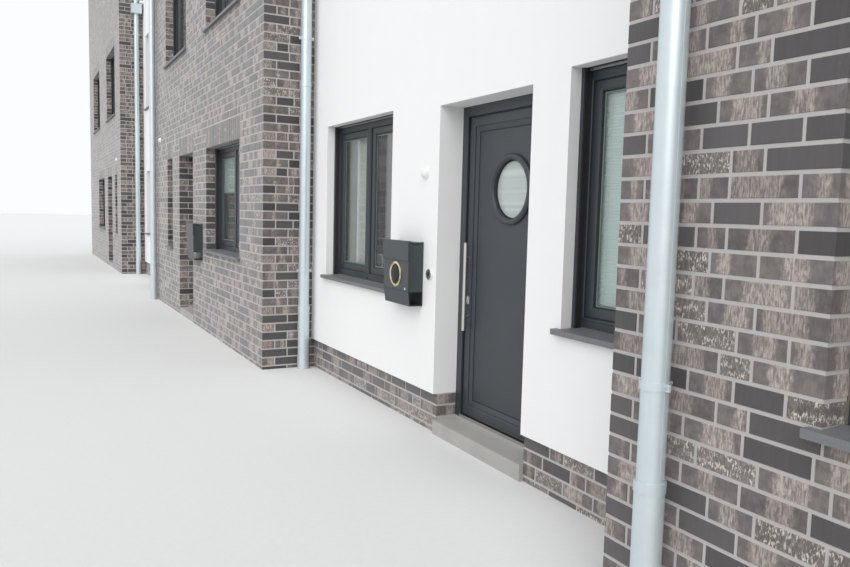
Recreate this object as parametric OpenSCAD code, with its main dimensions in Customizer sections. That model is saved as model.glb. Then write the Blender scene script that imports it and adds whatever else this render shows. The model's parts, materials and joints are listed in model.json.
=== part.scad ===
// Row of five modern terraced houses, dark brick and white render in turn, ground level up.
// X runs along the row, -Y is the street side, +Z is up, millimetres.
// The origin is the middle of the footprint at ground level.

/* [Row] */
// Width of the wide brick house at the left end
end_house_w = 7990; // [7500:10:8600]
// Width of each of the two other brick houses
mid_house_w = 6490; // [6200:10:7600]
// Depth of the brick houses from street front to rear
house_depth = 10490; // [9000:10:12500]
// Distance that the white walls stand back behind the brick ones
recess = 495; // [440:5:700]

/* [Storeys] */
// Top of the ground floor above the ground
floor_z = 120; // [80:5:200]
// Height from one floor to the next
storey_h = 2750; // [2650:10:3000]
// Thickness of an upper floor slab
slab_t = 250; // [180:10:300]
// Insulation and gravel on the brick houses' roof slabs
brick_cover_t = 200; // [120:10:260]
// Insulation, falls and gravel on the white houses' roof slabs
white_cover_t = 400; // [350:10:520]
// Top of the brick walls above the roof slab
brick_parapet_h = 580; // [420:10:900]
// Top of the white walls above the roof slab
white_parapet_h = 830; // [700:10:1100]

/* [Walls] */
// Thickness of the brick cavity walls
brick_wall_t = 430; // [400:5:480]
// Thickness of the insulated and rendered walls
white_wall_t = 385; // [350:5:430]
// Thickness of the party walls
side_wall_t = 300; // [240:10:400]
// Height of the brick plinth below the render
plinth_h = 283; // [230:1:400]
// Distance that the plinth stands back under the render
plinth_setback = 30; // [15:5:60]

/* [Windows] */
// Width of a large brick house window
big_window_w = 1605; // [1300:5:1800]
// Width of an upper window of the end house
end_window_w = 1885; // [1500:5:2000]
// Width of the narrow window beside a brick house door
narrow_window_w = 430; // [400:5:520]
// Width of a large white house window
white_window_w = 1405; // [1200:5:1500]
// Width of the window right of a white house door
small_window_w = 635; // [560:5:700]
// Top of the window sills above the floor
sill_h = 830; // [780:10:900]
// Top of the middle house's large ground floor sill above the floor
middle_sill_h = 913; // [830:1:996]
// Height of the brick ground floor heads and of all doors above the floor
ground_head_h = 2162; // [2080:1:2300]
// Height of the white ground floor window heads above the floor
white_head_h = 2207; // [2100:1:2350]
// Height of the upper window heads above the floor
upper_head_h = 2413; // [2250:1:2440]
// Depth of the brick reveals in front of a window
brick_reveal = 160; // [120:5:190]
// Depth of the rendered reveals in front of a window
white_reveal = 120; // [100:5:150]
// Depth of a window frame from front to back
frame_d = 75; // [60:5:90]
// Face width of the fixed frame at its sides
frame_w = 41; // [35:1:75]
// Face width of the fixed frame above and below its casements
head_w = 65; // [45:1:85]
// Face width of a casement
casement_w = 57; // [50:1:90]
// Width from which a window has two casements
two_light_w = 1000; // [700:50:1300]
// Face width of the post between two casements
post_w = 71; // [50:1:100]
// Step from the fixed frame back to the casement
casement_step = 12; // [6:1:20]
// Width of a roller shutter's guide rail
rail_w = 24; // [18:1:32]
// Distance that a guide rail stands out of its window frame
rail_out = 50; // [30:1:60]
// Thickness of a double pane
pane_t = 24; // [18:1:36]
// Thickness of a stone sill at its front
sill_t = 30; // [25:1:50]
// Distance that a sill stands out of the wall
sill_out = 40; // [25:5:70]
// Distance that a sill runs past each side of its window
sill_ear = 40; // [20:5:60]

/* [Layout] */
// Corner to the large window on a brick front
big_window_x = 885; // [760:5:1000]
// Corner to the door niche on a brick front
niche_x = 3300; // [3200:5:3500]
// Corner to the narrow window on a brick front
narrow_x = 4820; // [4700:5:5000]
// Corner to the second upper window on a brick front
second_x = 3740; // [3600:5:3900]
// Right corner to the narrow window of the end house
end_narrow_x = 740; // [600:5:900]
// Right corner to the door niche of the end house
end_niche_x = 1850; // [1750:5:1950]
// Right corner to the large ground floor window of the end house
end_big_x = 3710; // [3600:5:3900]
// Right corner to the first upper window of the end house
end_upper_x = 990; // [800:5:1150]
// Right corner to the second upper window of the end house
end_second_x = 4740; // [4500:5:4900]
// White wall left of the large window
white_left_pier = 385; // [300:5:600]
// White wall between the large window and the door
letter_box_pier = 745; // [690:5:1000]
// White wall between the door and the small window
small_window_pier = 330; // [250:5:500]
// White wall right of the small window
white_right_pier = 325; // [250:5:600]

/* [Doors] */
// Width of the doorway of a white house
door_w = 1060; // [980:5:1150]
// Width of the door niche of a brick house
niche_w = 970; // [900:5:1100]
// Depth of the door niche of a brick house
niche_d = 345; // [250:5:350]
// Depth of the reveal in front of a white house door
door_reveal = 185; // [120:5:230]
// Face width of the door frame without its lip
door_frame_w = 56; // [45:1:70]
// Depth of the door frame
door_frame_d = 75; // [60:1:78]
// Overlap of the frame's front lip over the leaf
lip_w = 12; // [11:1:18]
// Thickness of the frame's front lip
lip_t = 12; // [8:1:14]
// Gap between the lip and the closed leaf
lip_gap = 6; // [5:0.5:6]
// Thickness of the door leaf
leaf_t = 70; // [65:1:80]
// Gap between leaf and frame on the lock side
lock_gap = 9; // [9:0.5:10]
// Gap between leaf and frame on the hinge side, above and below
hinge_gap = 6; // [5:0.5:8]
// Height of the metal threshold above the floor
threshold_h = 20; // [15:1:25]
// Depth of the step in front of the threshold, below the floor
step_drop = 20; // [10:1:40]
// Distance from the leaf's edge to its panel
panel_inset = 77; // [70:1:110]
// Distance that the panel stands back in the leaf
panel_deep = 15; // [10:1:35]
// Outer radius of the raised ring round the door's round window
ring_r = 228; // [200:1:240]
// Radius of the door's round glass
porthole_r = 187; // [160:1:190]
// Distance from the frame's side to the middle of the round window
porthole_x = 563; // [530:1:590]
// Distance from the doorway's head down to the middle of the round window
porthole_drop = 567; // [500:1:650]
// Distance that the ring stands out of the panel
ring_out = 24; // [12:1:30]
// Length of the pull bar
pull_l = 610; // [400:10:800]
// Diameter of the pull bar
pull_d = 28; // [20:1:35]
// Height of the pull bar's middle above the floor
pull_z = 930; // [900:5:1050]
// Distance from the frame's side to the pull bar
pull_x = 118; // [112:1:124]
// Distance from the leaf to the pull bar's middle
pull_out = 41; // [38:1:60]
// Radius of a hinge knuckle
knuckle_r = 9; // [8:0.5:11]
// Radius of a hinge pin
pin_r = 5; // [4:0.5:6]
// Clearance round a hinge pin
pin_gap = 0.05; // [0.03:0.01:0.1]
// Height of one hinge knuckle
knuckle_h = 45; // [35:1:60]

/* [Rainwater] */
// Diameter of a downpipe
pipe_d = 100; // [80:1:120]
// Diameter of the stand pipe at the foot
stand_d = 110; // [100:1:130]
// Height of the stand pipe
stand_h = 620; // [400:10:1000]
// Gap between a downpipe and the wall
pipe_gap = 30; // [20:1:45]
// Corner to the middle of a front downpipe
front_pipe_x = 305; // [200:5:420]
// Distance from the entrance house's front to the middle of its side downpipe
side_pipe_y = 110; // [110:1:160]
// Distance from the far white front to the middle of its side downpipe
far_side_pipe_y = 150; // [110:1:200]
// Height of the lowest pipe clamp
clamp_z = 967; // [800:1:1200]
// Height from clamp to clamp
clamp_pitch = 2200; // [1800:50:2400]
// Height of a rainwater hopper
hopper_h = 230; // [160:5:260]
// Width of a rainwater hopper
hopper_w = 220; // [180:5:220]
// Radius of a roof spout
spout_r = 40; // [30:1:45]

/* [Copings] */
// Height of a metal coping's edge
coping_h = 60; // [40:5:90]
// Thickness of a coping's top
coping_t = 20; // [12:1:30]
// Distance that a coping stands out of the wall
coping_out = 30; // [20:1:40]
// Thickness of a coping's turned down edge
coping_lip = 10; // [6:1:15]

/* [Letter boxes] */
// Width of a letter box
box_w = 420; // [360:5:450]
// Height of a letter box
box_h = 466; // [420:2:520]
// Depth of a letter box
box_d = 127; // [95:1:140]
// Height of a letter box's foot above the ground
box_z = 885; // [800:5:1000]
// Sheet thickness of a letter box
sheet_t = 3; // [2:0.5:4]
// Height of the lid's front
flap_h = 143; // [110:1:160]
// Height of the newspaper compartment
paper_h = 104; // [80:1:115]
// Distance from the white doorway to the letter box
box_to_door = 186; // [150:1:220]
// Radius of the ring on the letter box
box_ring_r = 94; // [80:1:96]
// Width of that ring's face
box_ring_w = 22; // [12:1:26]

/* [Hidden] */

houses = 5;
entrance = 3;
sill_fall = 6;
white_door_x = white_left_pier + white_window_w + letter_box_pier;
small_window_x = white_door_x + door_w + small_window_pier;
white_house_w = small_window_x + small_window_w + white_right_pier;
row_l = end_house_w + 2 * mid_house_w + 2 * white_house_w;
eps = 1;

// Distances that follow from the sizes above
function is_white(i) = i == 1 || i == entrance;
function brick_houses() = [0, 2, 4];
function white_houses() = [1, entrance];
function house_w(i) = i == 0 ? end_house_w : is_white(i) ? white_house_w : mid_house_w;
function house_x(i) = i == 0 ? -row_l / 2 : house_x(i - 1) + house_w(i - 1);
function front_y(i) = -house_depth / 2 + (is_white(i) ? recess : 0);
function wall_t(i) = is_white(i) ? white_wall_t : brick_wall_t;
function reveal(i) = is_white(i) ? white_reveal : brick_reveal;
function level(s) = floor_z + s * storey_h;
function storeys(i) = is_white(i) ? 2 : 3;
function roof_z(i) = level(storeys(i)) + (is_white(i) ? white_cover_t : brick_cover_t);
function wall_top(i) = level(storeys(i)) + (is_white(i) ? white_parapet_h : brick_parapet_h);

// The end house and the middle house are measured from their right corners
function run(i, d, w) = i == 0 || i == 2 ? house_w(i) - d - w : d;

// An opening is [distance from the left corner, width, bottom, top]
function window(i, s, d, w, head, sill = sill_h) =
    [run(i, d, w), w, level(s) + sill - sill_t, level(s) + head];
function garden_window(i, d, w, head) = [run(i, d, w), w, level(0), level(0) + head];

function upper_windows(i, s) =
    is_white(i) ? [
        window(i, s, white_left_pier, white_window_w, upper_head_h),
        window(i, s, white_house_w - white_left_pier - white_window_w, white_window_w,
            upper_head_h)] :
    i == 0 ? [
        window(i, s, end_upper_x, end_window_w, upper_head_h),
        window(i, s, end_second_x, end_window_w, upper_head_h)] : [
        window(i, s, big_window_x, big_window_w, upper_head_h),
        window(i, s, second_x, big_window_w, upper_head_h)];

// The end house has a plain second floor on the street side
function front_windows(i, s) =
    i == 0 && s == 2 ? [] :
    s > 0 ? upper_windows(i, s) :
    is_white(i) ? [
        window(i, s, white_left_pier, white_window_w, white_head_h),
        window(i, s, small_window_x, small_window_w, white_head_h)] :
    i == 0 ? [
        window(i, s, end_big_x, big_window_w, ground_head_h),
        window(i, s, end_narrow_x, narrow_window_w, ground_head_h)] : [
        window(i, s, big_window_x, big_window_w, ground_head_h,
            i == 2 ? middle_sill_h : sill_h),
        window(i, s, narrow_x, narrow_window_w, ground_head_h)];

function rear_windows(i, s) =
    s > 0 ? upper_windows(i, s) :
    is_white(i) ? [
        window(i, s, white_left_pier, white_window_w, white_head_h),
        garden_window(i, white_house_w - white_left_pier - white_window_w, white_window_w,
            white_head_h)] :
    i == 0 ? [
        window(i, s, end_upper_x, end_window_w, ground_head_h),
        garden_window(i, end_second_x, end_window_w, ground_head_h)] : [
        garden_window(i, big_window_x, big_window_w, ground_head_h),
        window(i, s, second_x, big_window_w, ground_head_h)];

function doorway(i) =
    is_white(i) ? [white_door_x, door_w, 0, level(0) + ground_head_h] :
    i == 0 ? [run(i, end_niche_x, niche_w), niche_w, 0, level(0) + ground_head_h] :
    [run(i, niche_x, niche_w), niche_w, 0, level(0) + ground_head_h];
function doorway_d(i) = is_white(i) ? door_reveal : niche_d;

function is_garden(o) = o[2] == level(0);
function foot(o) = o[2] == 0 ? -eps : o[2];
function lights(w) = w > two_light_w ? 2 : 1;
function light_w(w) = (w - 2 * frame_w - (lights(w) - 1) * post_w) / lights(w);
function light_x(w, k) = frame_w + k * (light_w(w) + post_w);
// The bottom rail is taller by the part that the sill hides
function light_z(o) = head_w + (is_garden(o) ? 0 : sill_t);
function light_h(o) = o[3] - o[2] - light_z(o) - head_w;

// Moves a child to the left corner of a house at its outer face, on the street or garden side
module on_front(i) { translate([house_x(i), front_y(i), 0]) children(); }
module on_rear(i) { mirror([0, 1, 0]) on_front(i) children(); }

module wall(i, z_low, z_high, openings, x_low = 0, x_high = undef) {
    x_end = is_undef(x_high) ? house_w(i) : x_high;
    difference() {
        translate([x_low, 0, z_low]) cube([x_end - x_low, wall_t(i), z_high - z_low]);
        for (o = openings)
            translate([o[0], -eps, foot(o)]) cube([o[1], wall_t(i) + 2 * eps, o[3] - foot(o)]);
    }
}

module brick_wall(i, s, openings) {
    z_low = s == 0 ? 0 : level(s);
    z_high = s == storeys(i) - 1 ? wall_top(i) : level(s + 1);
    wall(i, z_low, z_high, openings);
}

// Floors and roofs fill the space between the inner faces of the walls
module floor_plate(i, z_low, t) {
    side = is_white(i) ? 0 : side_wall_t;
    y_low = front_y(i) + wall_t(i);
    translate([house_x(i) + side, y_low, z_low]) cube([house_w(i) - 2 * side, -2 * y_low, t]);
}

module ground_slabs() {
    color("gray") for (i = [0:houses - 1]) floor_plate(i, 0, floor_z);
}

module upper_floors() {
    color("gray") for (i = [0:houses - 1], s = [1:storeys(i) - 1])
        floor_plate(i, level(s) - slab_t, slab_t);
}

module flat_roofs() {
    color("dimgray") for (i = [0:houses - 1])
        floor_plate(i, level(storeys(i)) - slab_t, roof_z(i) - level(storeys(i)) + slab_t);
}

module party_walls() {
    color("#4a4442") for (i = brick_houses(), x = [0, house_w(i) - side_wall_t])
        translate([house_x(i) + x, front_y(i) + brick_wall_t, 0])
            cube([side_wall_t, house_depth - 2 * brick_wall_t, wall_top(i)]);
}

module brick_front(s) {
    color("#4a4442") for (i = brick_houses()) on_front(i)
        brick_wall(i, s, concat(front_windows(i, s), s == 0 ? [doorway(i)] : []));
}
module brick_front_ground() { brick_front(0); }
module brick_front_first() { brick_front(1); }
module brick_front_second() { brick_front(2); }

module brick_rear(s) {
    color("#4a4442") for (i = brick_houses()) on_rear(i)
        brick_wall(i, s, rear_windows(i, s));
}
module brick_rear_ground() { brick_rear(0); }
module brick_rear_first() { brick_rear(1); }
module brick_rear_second() { brick_rear(2); }

module white_front_ground() {
    i = 1;
    color("white") on_front(i)
        wall(i, plinth_h, level(1), concat(front_windows(i, 0), [doorway(i)]));
}

module entrance_wall_left() {
    i = entrance;
    color("white") on_front(i)
        wall(i, plinth_h, level(1), front_windows(i, 0), 0, white_door_x);
}

module entrance_wall_right() {
    i = entrance;
    color("white") on_front(i)
        wall(i, plinth_h, level(1), front_windows(i, 0), white_door_x + door_w);
}

// The upper wall of the entrance house carries the lintel over its doorway
module white_front_upper() {
    color("white") for (i = white_houses()) on_front(i) {
        wall(i, level(1), wall_top(i), front_windows(i, 1));
        if (i == entrance)
            translate([white_door_x, 0, doorway(i)[3]])
                cube([door_w, white_wall_t, level(1) - doorway(i)[3]]);
    }
}

module white_rear_ground() {
    color("white") for (i = white_houses()) on_rear(i)
        wall(i, plinth_h, level(1), rear_windows(i, 0));
}

module white_rear_upper() {
    color("white") for (i = white_houses()) on_rear(i)
        wall(i, level(1), wall_top(i), rear_windows(i, 1));
}

module plinth(i, openings) {
    difference() {
        translate([0, plinth_setback, 0])
            cube([house_w(i), white_wall_t - plinth_setback, plinth_h]);
        for (o = openings)
            translate([o[0], -eps, foot(o)]) cube([o[1], white_wall_t + 2 * eps, o[3]]);
    }
}

module white_plinths() {
    color("#4a4442") for (i = white_houses()) {
        on_front(i) plinth(i, [doorway(i)]);
        on_rear(i) plinth(i, [for (o = rear_windows(i, 0)) if (is_garden(o)) o]);
    }
}

// A coping is a flat top with turned down edges that hang in front of the wall
module coping_ring(x_l, y_l, inner_x, inner_y) {
    difference() {
        translate([-coping_out, -coping_out, coping_t - coping_h])
            cube([x_l + 2 * coping_out, y_l + 2 * coping_out, coping_h]);
        gap = coping_out - coping_lip;
        translate([-gap, -gap, -coping_h]) cube([x_l + 2 * gap, y_l + 2 * gap, coping_h]);
        translate([inner_x, inner_y, -eps])
            cube([x_l - 2 * inner_x, y_l - 2 * inner_y, coping_t + 2 * eps]);
    }
}

module brick_copings() {
    color("#3b4045") for (i = brick_houses())
        translate([house_x(i), front_y(i), wall_top(i)])
            coping_ring(house_w(i), house_depth, side_wall_t, brick_wall_t);
}

module straight_coping(i) {
    translate([0, -coping_out, wall_top(i)]) {
        cube([house_w(i), wall_t(i) + 2 * coping_out, coping_t]);
        for (y = [0, wall_t(i) + 2 * coping_out - coping_lip])
            translate([0, y, coping_t - coping_h]) cube([house_w(i), coping_lip, coping_h]);
    }
}

module white_copings() {
    color("#3b4045") for (i = white_houses()) {
        on_front(i) straight_coping(i);
        on_rear(i) straight_coping(i);
    }
}

// A frame with its casements and, in front of its sides, the guide rails of the shutter
module window_frame(o) {
    w = o[1];
    h = light_h(o);
    difference() {
        cube([w, frame_d, o[3] - o[2]]);
        for (k = [0:lights(w) - 1]) translate([light_x(w, k), -eps, light_z(o)]) {
            cube([light_w(w), casement_step + eps, h]);
            translate([casement_w, 0, casement_w])
                cube([light_w(w) - 2 * casement_w, frame_d + 2 * eps, h - 2 * casement_w]);
        }
    }
    rail_z = is_garden(o) ? 0 : sill_t + sill_fall;
    for (x = [0, w - rail_w]) translate([x, -rail_out, rail_z])
        cube([rail_w, rail_out + eps, o[3] - o[2] - rail_z]);
}

module window_panes(o) {
    w = o[1];
    for (k = [0:lights(w) - 1])
        translate([light_x(w, k) + casement_w, (frame_d - pane_t) / 2,
            light_z(o) + casement_w])
            cube([light_w(w) - 2 * casement_w, pane_t, light_h(o) - 2 * casement_w]);
}

// Sets a child into an opening, behind its reveal
module in_opening(o, depth) { translate([o[0], depth, o[2]]) children(); }

module front_frames_ground() {
    color("#383e42") for (i = [0:houses - 1]) on_front(i)
        for (o = front_windows(i, 0)) in_opening(o, reveal(i)) window_frame(o);
}

module front_frames_upper() {
    color("#383e42") for (i = [0:houses - 1]) on_front(i)
        for (s = [1:storeys(i) - 1], o = front_windows(i, s))
            in_opening(o, reveal(i)) window_frame(o);
}

module rear_frames() {
    color("#383e42") for (i = [0:houses - 1]) on_rear(i)
        for (s = [0:storeys(i) - 1], o = rear_windows(i, s))
            in_opening(o, reveal(i)) window_frame(o);
}

module front_panes() {
    color("lightblue", 0.4) for (i = [0:houses - 1]) on_front(i)
        for (s = [0:storeys(i) - 1], o = front_windows(i, s))
            in_opening(o, reveal(i)) window_panes(o);
}

module rear_panes() {
    color("lightblue", 0.4) for (i = [0:houses - 1]) on_rear(i)
        for (s = [0:storeys(i) - 1], o = rear_windows(i, s))
            in_opening(o, reveal(i)) window_panes(o);
}

// A sill falls outwards and has a drip groove under its nose
module sill(w, depth) {
    drip = 8;
    nose = [[-sill_out, 0], [-sill_out + drip, 0], [-sill_out + drip, drip / 2],
        [-sill_out + 2 * drip, drip / 2], [-sill_out + 2 * drip, 0], [0, 0],
        [0, sill_t], [-sill_out, sill_t]];
    translate([w + sill_ear, 0, 0]) rotate([90, 0, -90])
        linear_extrude(w + 2 * sill_ear) polygon([for (p = nose) [-p[0], p[1]]]);
    translate([w, 0, 0]) rotate([90, 0, -90]) linear_extrude(w)
        polygon([[0, 0], [-depth, 0], [-depth, sill_t + sill_fall], [0, sill_t]]);
}

module front_sills() {
    color("#3a3b3d") for (i = [0:houses - 1]) on_front(i)
        for (s = [0:storeys(i) - 1], o = front_windows(i, s))
            in_opening(o, 0) sill(o[1], reveal(i));
}

module rear_sills() {
    color("#3a3b3d") for (i = [0:houses - 1]) on_rear(i)
        for (s = [0:storeys(i) - 1], o = rear_windows(i, s)) if (!is_garden(o))
            in_opening(o, 0) sill(o[1], reveal(i));
}

// The step fills the foot of a doorway through the wall
module door_steps() {
    color("gray") for (i = [0:houses - 1]) on_front(i) {
        o = doorway(i);
        d = doorway_d(i);
        translate([o[0], 0, 0]) cube([o[1], d, floor_z - step_drop]);
        translate([o[0], d, 0]) cube([o[1], wall_t(i) - d, floor_z]);
    }
}

module thresholds() {
    color("silver") for (i = [0:houses - 1]) on_front(i) {
        o = doorway(i);
        translate([o[0] + door_frame_w, doorway_d(i), floor_z])
            cube([o[1] - 2 * door_frame_w, door_frame_d, threshold_h]);
    }
}

module door_frame(w) {
    h = ground_head_h;
    difference() {
        cube([w, door_frame_d, h]);
        translate([door_frame_w, lip_t, -eps])
            cube([w - 2 * door_frame_w, door_frame_d, h - door_frame_w + eps]);
        translate([door_frame_w + lip_w, -eps, -eps])
            cube([w - 2 * (door_frame_w + lip_w), door_frame_d, h - door_frame_w - lip_w + eps]);
        translate([door_frame_w, -eps, -eps])
            cube([w - 2 * door_frame_w, door_frame_d, threshold_h + eps]);
    }
}

// Places a child at the left foot of a door frame, at its street face
module at_door(i) {
    on_front(i) translate([doorway(i)[0], doorway_d(i), floor_z]) children();
}

leaf_y = lip_t + lip_gap;
leaf_z = threshold_h + hinge_gap;
leaf_h = ground_head_h - door_frame_w - hinge_gap - leaf_z;
function leaf_w(w) = w - 2 * door_frame_w - lock_gap - hinge_gap;
leaf_x = door_frame_w + lock_gap;
panel_t = leaf_t - panel_deep;
porthole_z = ground_head_h - porthole_drop;

// The space in front of the panel
module panel_recess(w) {
    translate([leaf_x + panel_inset, leaf_y - eps, leaf_z + panel_inset])
        cube([leaf_w(w) - 2 * panel_inset, panel_deep + eps, leaf_h - 2 * panel_inset]);
}

// Places a child at the middle of the round window, on the panel's face
module at_porthole() {
    translate([porthole_x, leaf_y + panel_deep, porthole_z]) rotate([90, 0, 0]) children();
}

module door_leaf(w) {
    difference() {
        translate([leaf_x, leaf_y, leaf_z]) cube([leaf_w(w), leaf_t, leaf_h]);
        panel_recess(w);
        at_porthole() translate([0, 0, -panel_t - eps])
            cylinder(r = porthole_r, h = panel_t + 2 * eps, $fn = 96);
    }
}

// A turned ring; its crest is an arc that rises from half its thickness
module turned_ring(outer_r, inner_r, t) {
    band = outer_r - inner_r;
    rise = t / 2;
    crest_r = (band * band / 4 + rise * rise) / t;
    rotate_extrude($fn = 96) translate([inner_r, 0]) intersection() {
        square([band, t]);
        translate([band / 2, t - crest_r]) circle(r = crest_r, $fn = 96);
    }
}

module door_ring() { at_porthole() turned_ring(ring_r, porthole_r, ring_out); }

module door_pane() {
    at_porthole() translate([0, 0, -(panel_t + pane_t) / 2])
        cylinder(r = porthole_r, h = pane_t, $fn = 96);
}

escutcheon_x = 105;
escutcheon_w = 32;
escutcheon_h = 130;
escutcheon_z = 807;
plate_t = 5;
lever_rise = 55;
lever_z = escutcheon_z + lever_rise;
rosette_h = 58;
rosette_t = 12;
rosette_z = 837;

// An upright plate with round ends, standing out towards the street
module plate(h, t) {
    rotate([90, 0, 0]) linear_extrude(t) union() {
        square([escutcheon_w, h - escutcheon_w], center = true);
        for (z = [-1, 1]) translate([0, z * (h - escutcheon_w) / 2])
            circle(d = escutcheon_w, $fn = 48);
    }
}

module pull_bar() {
    post_r = 8;
    translate([pull_x, leaf_y - pull_out, pull_z - pull_l / 2])
        cylinder(d = pull_d, h = pull_l, $fn = 32);
    for (z = [-1, 1]) translate([pull_x, leaf_y, pull_z + z * pull_l / 3])
        rotate([90, 0, 0]) cylinder(r = post_r, h = pull_out, $fn = 24);
}

// The lever inside the door: a plate, a neck and a round arm
module lever() {
    neck = 45;
    arm = 120;
    arm_r = 10;
    translate([escutcheon_x, leaf_y + leaf_t + plate_t, escutcheon_z])
        plate(escutcheon_h, plate_t);
    translate([escutcheon_x, leaf_y + leaf_t, lever_z]) rotate([-90, 0, 0])
        cylinder(r = arm_r, h = neck + plate_t, $fn = 24);
    translate([escutcheon_x - arm_r, leaf_y + leaf_t + neck, lever_z]) rotate([0, 90, 0])
        cylinder(r = arm_r, h = arm, $fn = 24);
}

module entrance_door_frame() {
    color("#383e42") at_door(entrance) door_frame(door_w);
}

module entrance_door_leaf() {
    color("#383e42") at_door(entrance) door_leaf(door_w);
}

module entrance_door_ring() {
    color("#2c3134") at_door(entrance) door_ring();
}

module entrance_door_pane() {
    color("lightblue", 0.4) at_door(entrance) door_pane();
}

module entrance_door_handles() {
    color("silver") at_door(entrance) {
        pull_bar();
        translate([pull_x, leaf_y, rosette_z]) plate(rosette_h, rosette_t);
        lever();
    }
}

// The hinge line stands just inside the leaf, level with the frame's inner edge
hinge_x = door_w - door_frame_w;
hinge_out = knuckle_r + 3;
hinge_y = leaf_y + leaf_t + hinge_out;
hinge_zs = [230, 1030, 1830];
knuckle_play = 0.5;

module entrance_hinge_posts() {
    web = 8;
    flag = 30;
    color("silver") at_door(entrance) for (z = hinge_zs) translate([hinge_x, 0, z]) {
        translate([0, hinge_y, 0]) cylinder(r = knuckle_r, h = knuckle_h, $fn = 48);
        translate([0, hinge_y, 0])
            cylinder(r = pin_r, h = 2 * knuckle_h + knuckle_play, $fn = 48);
        translate([0, door_frame_d, 0]) cube([web, hinge_y - door_frame_d, knuckle_h]);
        translate([0, door_frame_d, 0]) cube([flag, plate_t, knuckle_h]);
    }
}

module entrance_hinge_wings() {
    web = 8;
    flag = 36;
    color("silver") at_door(entrance) for (z = hinge_zs)
        translate([hinge_x, 0, z + knuckle_h + knuckle_play]) difference() {
            union() {
                translate([0, hinge_y, 0]) cylinder(r = knuckle_r, h = knuckle_h, $fn = 48);
                translate([-web, leaf_y + leaf_t, 0]) cube([web, hinge_out, knuckle_h]);
                translate([-flag, leaf_y + leaf_t, 0]) cube([flag, plate_t, knuckle_h]);
            }
            translate([0, hinge_y, -eps])
                cylinder(r = pin_r + pin_gap, h = knuckle_h + 2 * eps, $fn = 48);
        }
}

module closed_door_frames() {
    color("#383e42") for (i = [0:houses - 1]) if (i != entrance)
        at_door(i) door_frame(doorway(i)[1]);
}

// A closed door is one piece with its ring and blind round pane
module closed_doors() {
    color("#383e42") for (i = [0:houses - 1]) if (i != entrance) at_door(i) {
        w = doorway(i)[1];
        blind_d = 10;
        difference() {
            translate([door_frame_w, leaf_y, threshold_h])
                cube([w - 2 * door_frame_w, door_frame_d - leaf_y,
                    ground_head_h - door_frame_w - threshold_h]);
            panel_recess(w);
            translate([(w - door_w) / 2, 0, 0]) at_porthole() translate([0, 0, -blind_d])
                cylinder(r = porthole_r, h = blind_d + eps, $fn = 96);
        }
        translate([(w - door_w) / 2, 0, 0]) door_ring();
        pull_bar();
    }
}

pipe_y = -pipe_gap - pipe_d / 2;
function side_pipe(i) = i == entrance ? side_pipe_y : far_side_pipe_y;
hopper_drop = 7;
function hopper_z(i) = roof_z(i) - hopper_drop - hopper_h;

// A hopper is an open box with a short neck round its outlet
module hopper() {
    wall_gap = pipe_d / 2 + pipe_gap;
    side = 3;
    inner = hopper_w / 2 - side;
    neck = 25;
    difference() {
        union() {
            translate([-hopper_w / 2, -hopper_w / 2, neck])
                cube([hopper_w, hopper_w / 2 + wall_gap, hopper_h - neck]);
            cylinder(d = pipe_d + 2 * side, h = neck, $fn = 48);
        }
        translate([-inner, -inner, neck + side])
            cube([2 * inner, inner + wall_gap - side, hopper_h]);
        translate([0, 0, -eps]) cylinder(d = pipe_d, h = hopper_h, $fn = 48);
    }
}

// A pipe stands at the origin with its wall at y = gap + radius
module downpipe(top, hopper_zs) {
    band_h = 30;
    band_t = 4;
    collar_h = 40;
    stub_r = 8;
    bead_t = 3;
    cylinder(d = pipe_d, h = top, $fn = 48);
    cylinder(d = stand_d, h = stand_h, $fn = 48);
    translate([0, 0, stand_h - collar_h])
        cylinder(d = stand_d + 2 * bead_t, h = collar_h, $fn = 48);
    for (z = [clamp_z:clamp_pitch:top - clamp_pitch / 4]) translate([0, 0, z]) {
        cylinder(d = pipe_d + 2 * band_t, h = band_h, center = true, $fn = 48);
        rotate([-90, 0, 0]) cylinder(r = stub_r, h = -pipe_y, $fn = 24);
    }
    for (z = hopper_zs) translate([0, 0, z]) hopper();
}

module front_downpipes() {
    color("#aab8bd") for (i = [2, 4]) on_front(i)
        translate([front_pipe_x, pipe_y, 0])
            downpipe(hopper_z(i) + hopper_h / 2, [hopper_z(i)]);
}

// A side pipe stands on the brick return beside a white front
module on_return(i) {
    translate([house_x(i) - pipe_y, front_y(i) - side_pipe(i), 0]) children();
}

module side_downpipes() {
    color("#aab8bd") for (i = white_houses()) on_return(i) rotate([0, 0, 90])
        downpipe(hopper_z(i - 1) + hopper_h / 2, [hopper_z(i), hopper_z(i - 1)]);
}

// A spout brings the roof water out of a wall and over a hopper
module spout(reach) {
    spout_t = 3;
    rotate([90, 0, 0]) difference() {
        cylinder(r = spout_r, h = reach, $fn = 48);
        translate([0, 0, -eps]) cylinder(r = spout_r - spout_t, h = reach + 2 * eps, $fn = 48);
    }
}

// The white roof's spout stops short of the pipe that passes beside it
spout_x = 55;
spout_gap = 10;

module roof_spouts() {
    color("white") {
        for (i = white_houses()) translate([house_x(i), 0, 0]) {
            translate([spout_x - pipe_y, front_y(i), roof_z(i) + spout_r])
                spout(side_pipe(i) - pipe_d / 2 - spout_gap);
            translate([0, front_y(i) - side_pipe(i), roof_z(i - 1) + spout_r])
                rotate([0, 0, 90]) spout(-pipe_y);
        }
        for (i = [2, 4]) on_front(i)
            translate([front_pipe_x, 0, roof_z(i) + spout_r]) spout(-pipe_y);
    }
}

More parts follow.
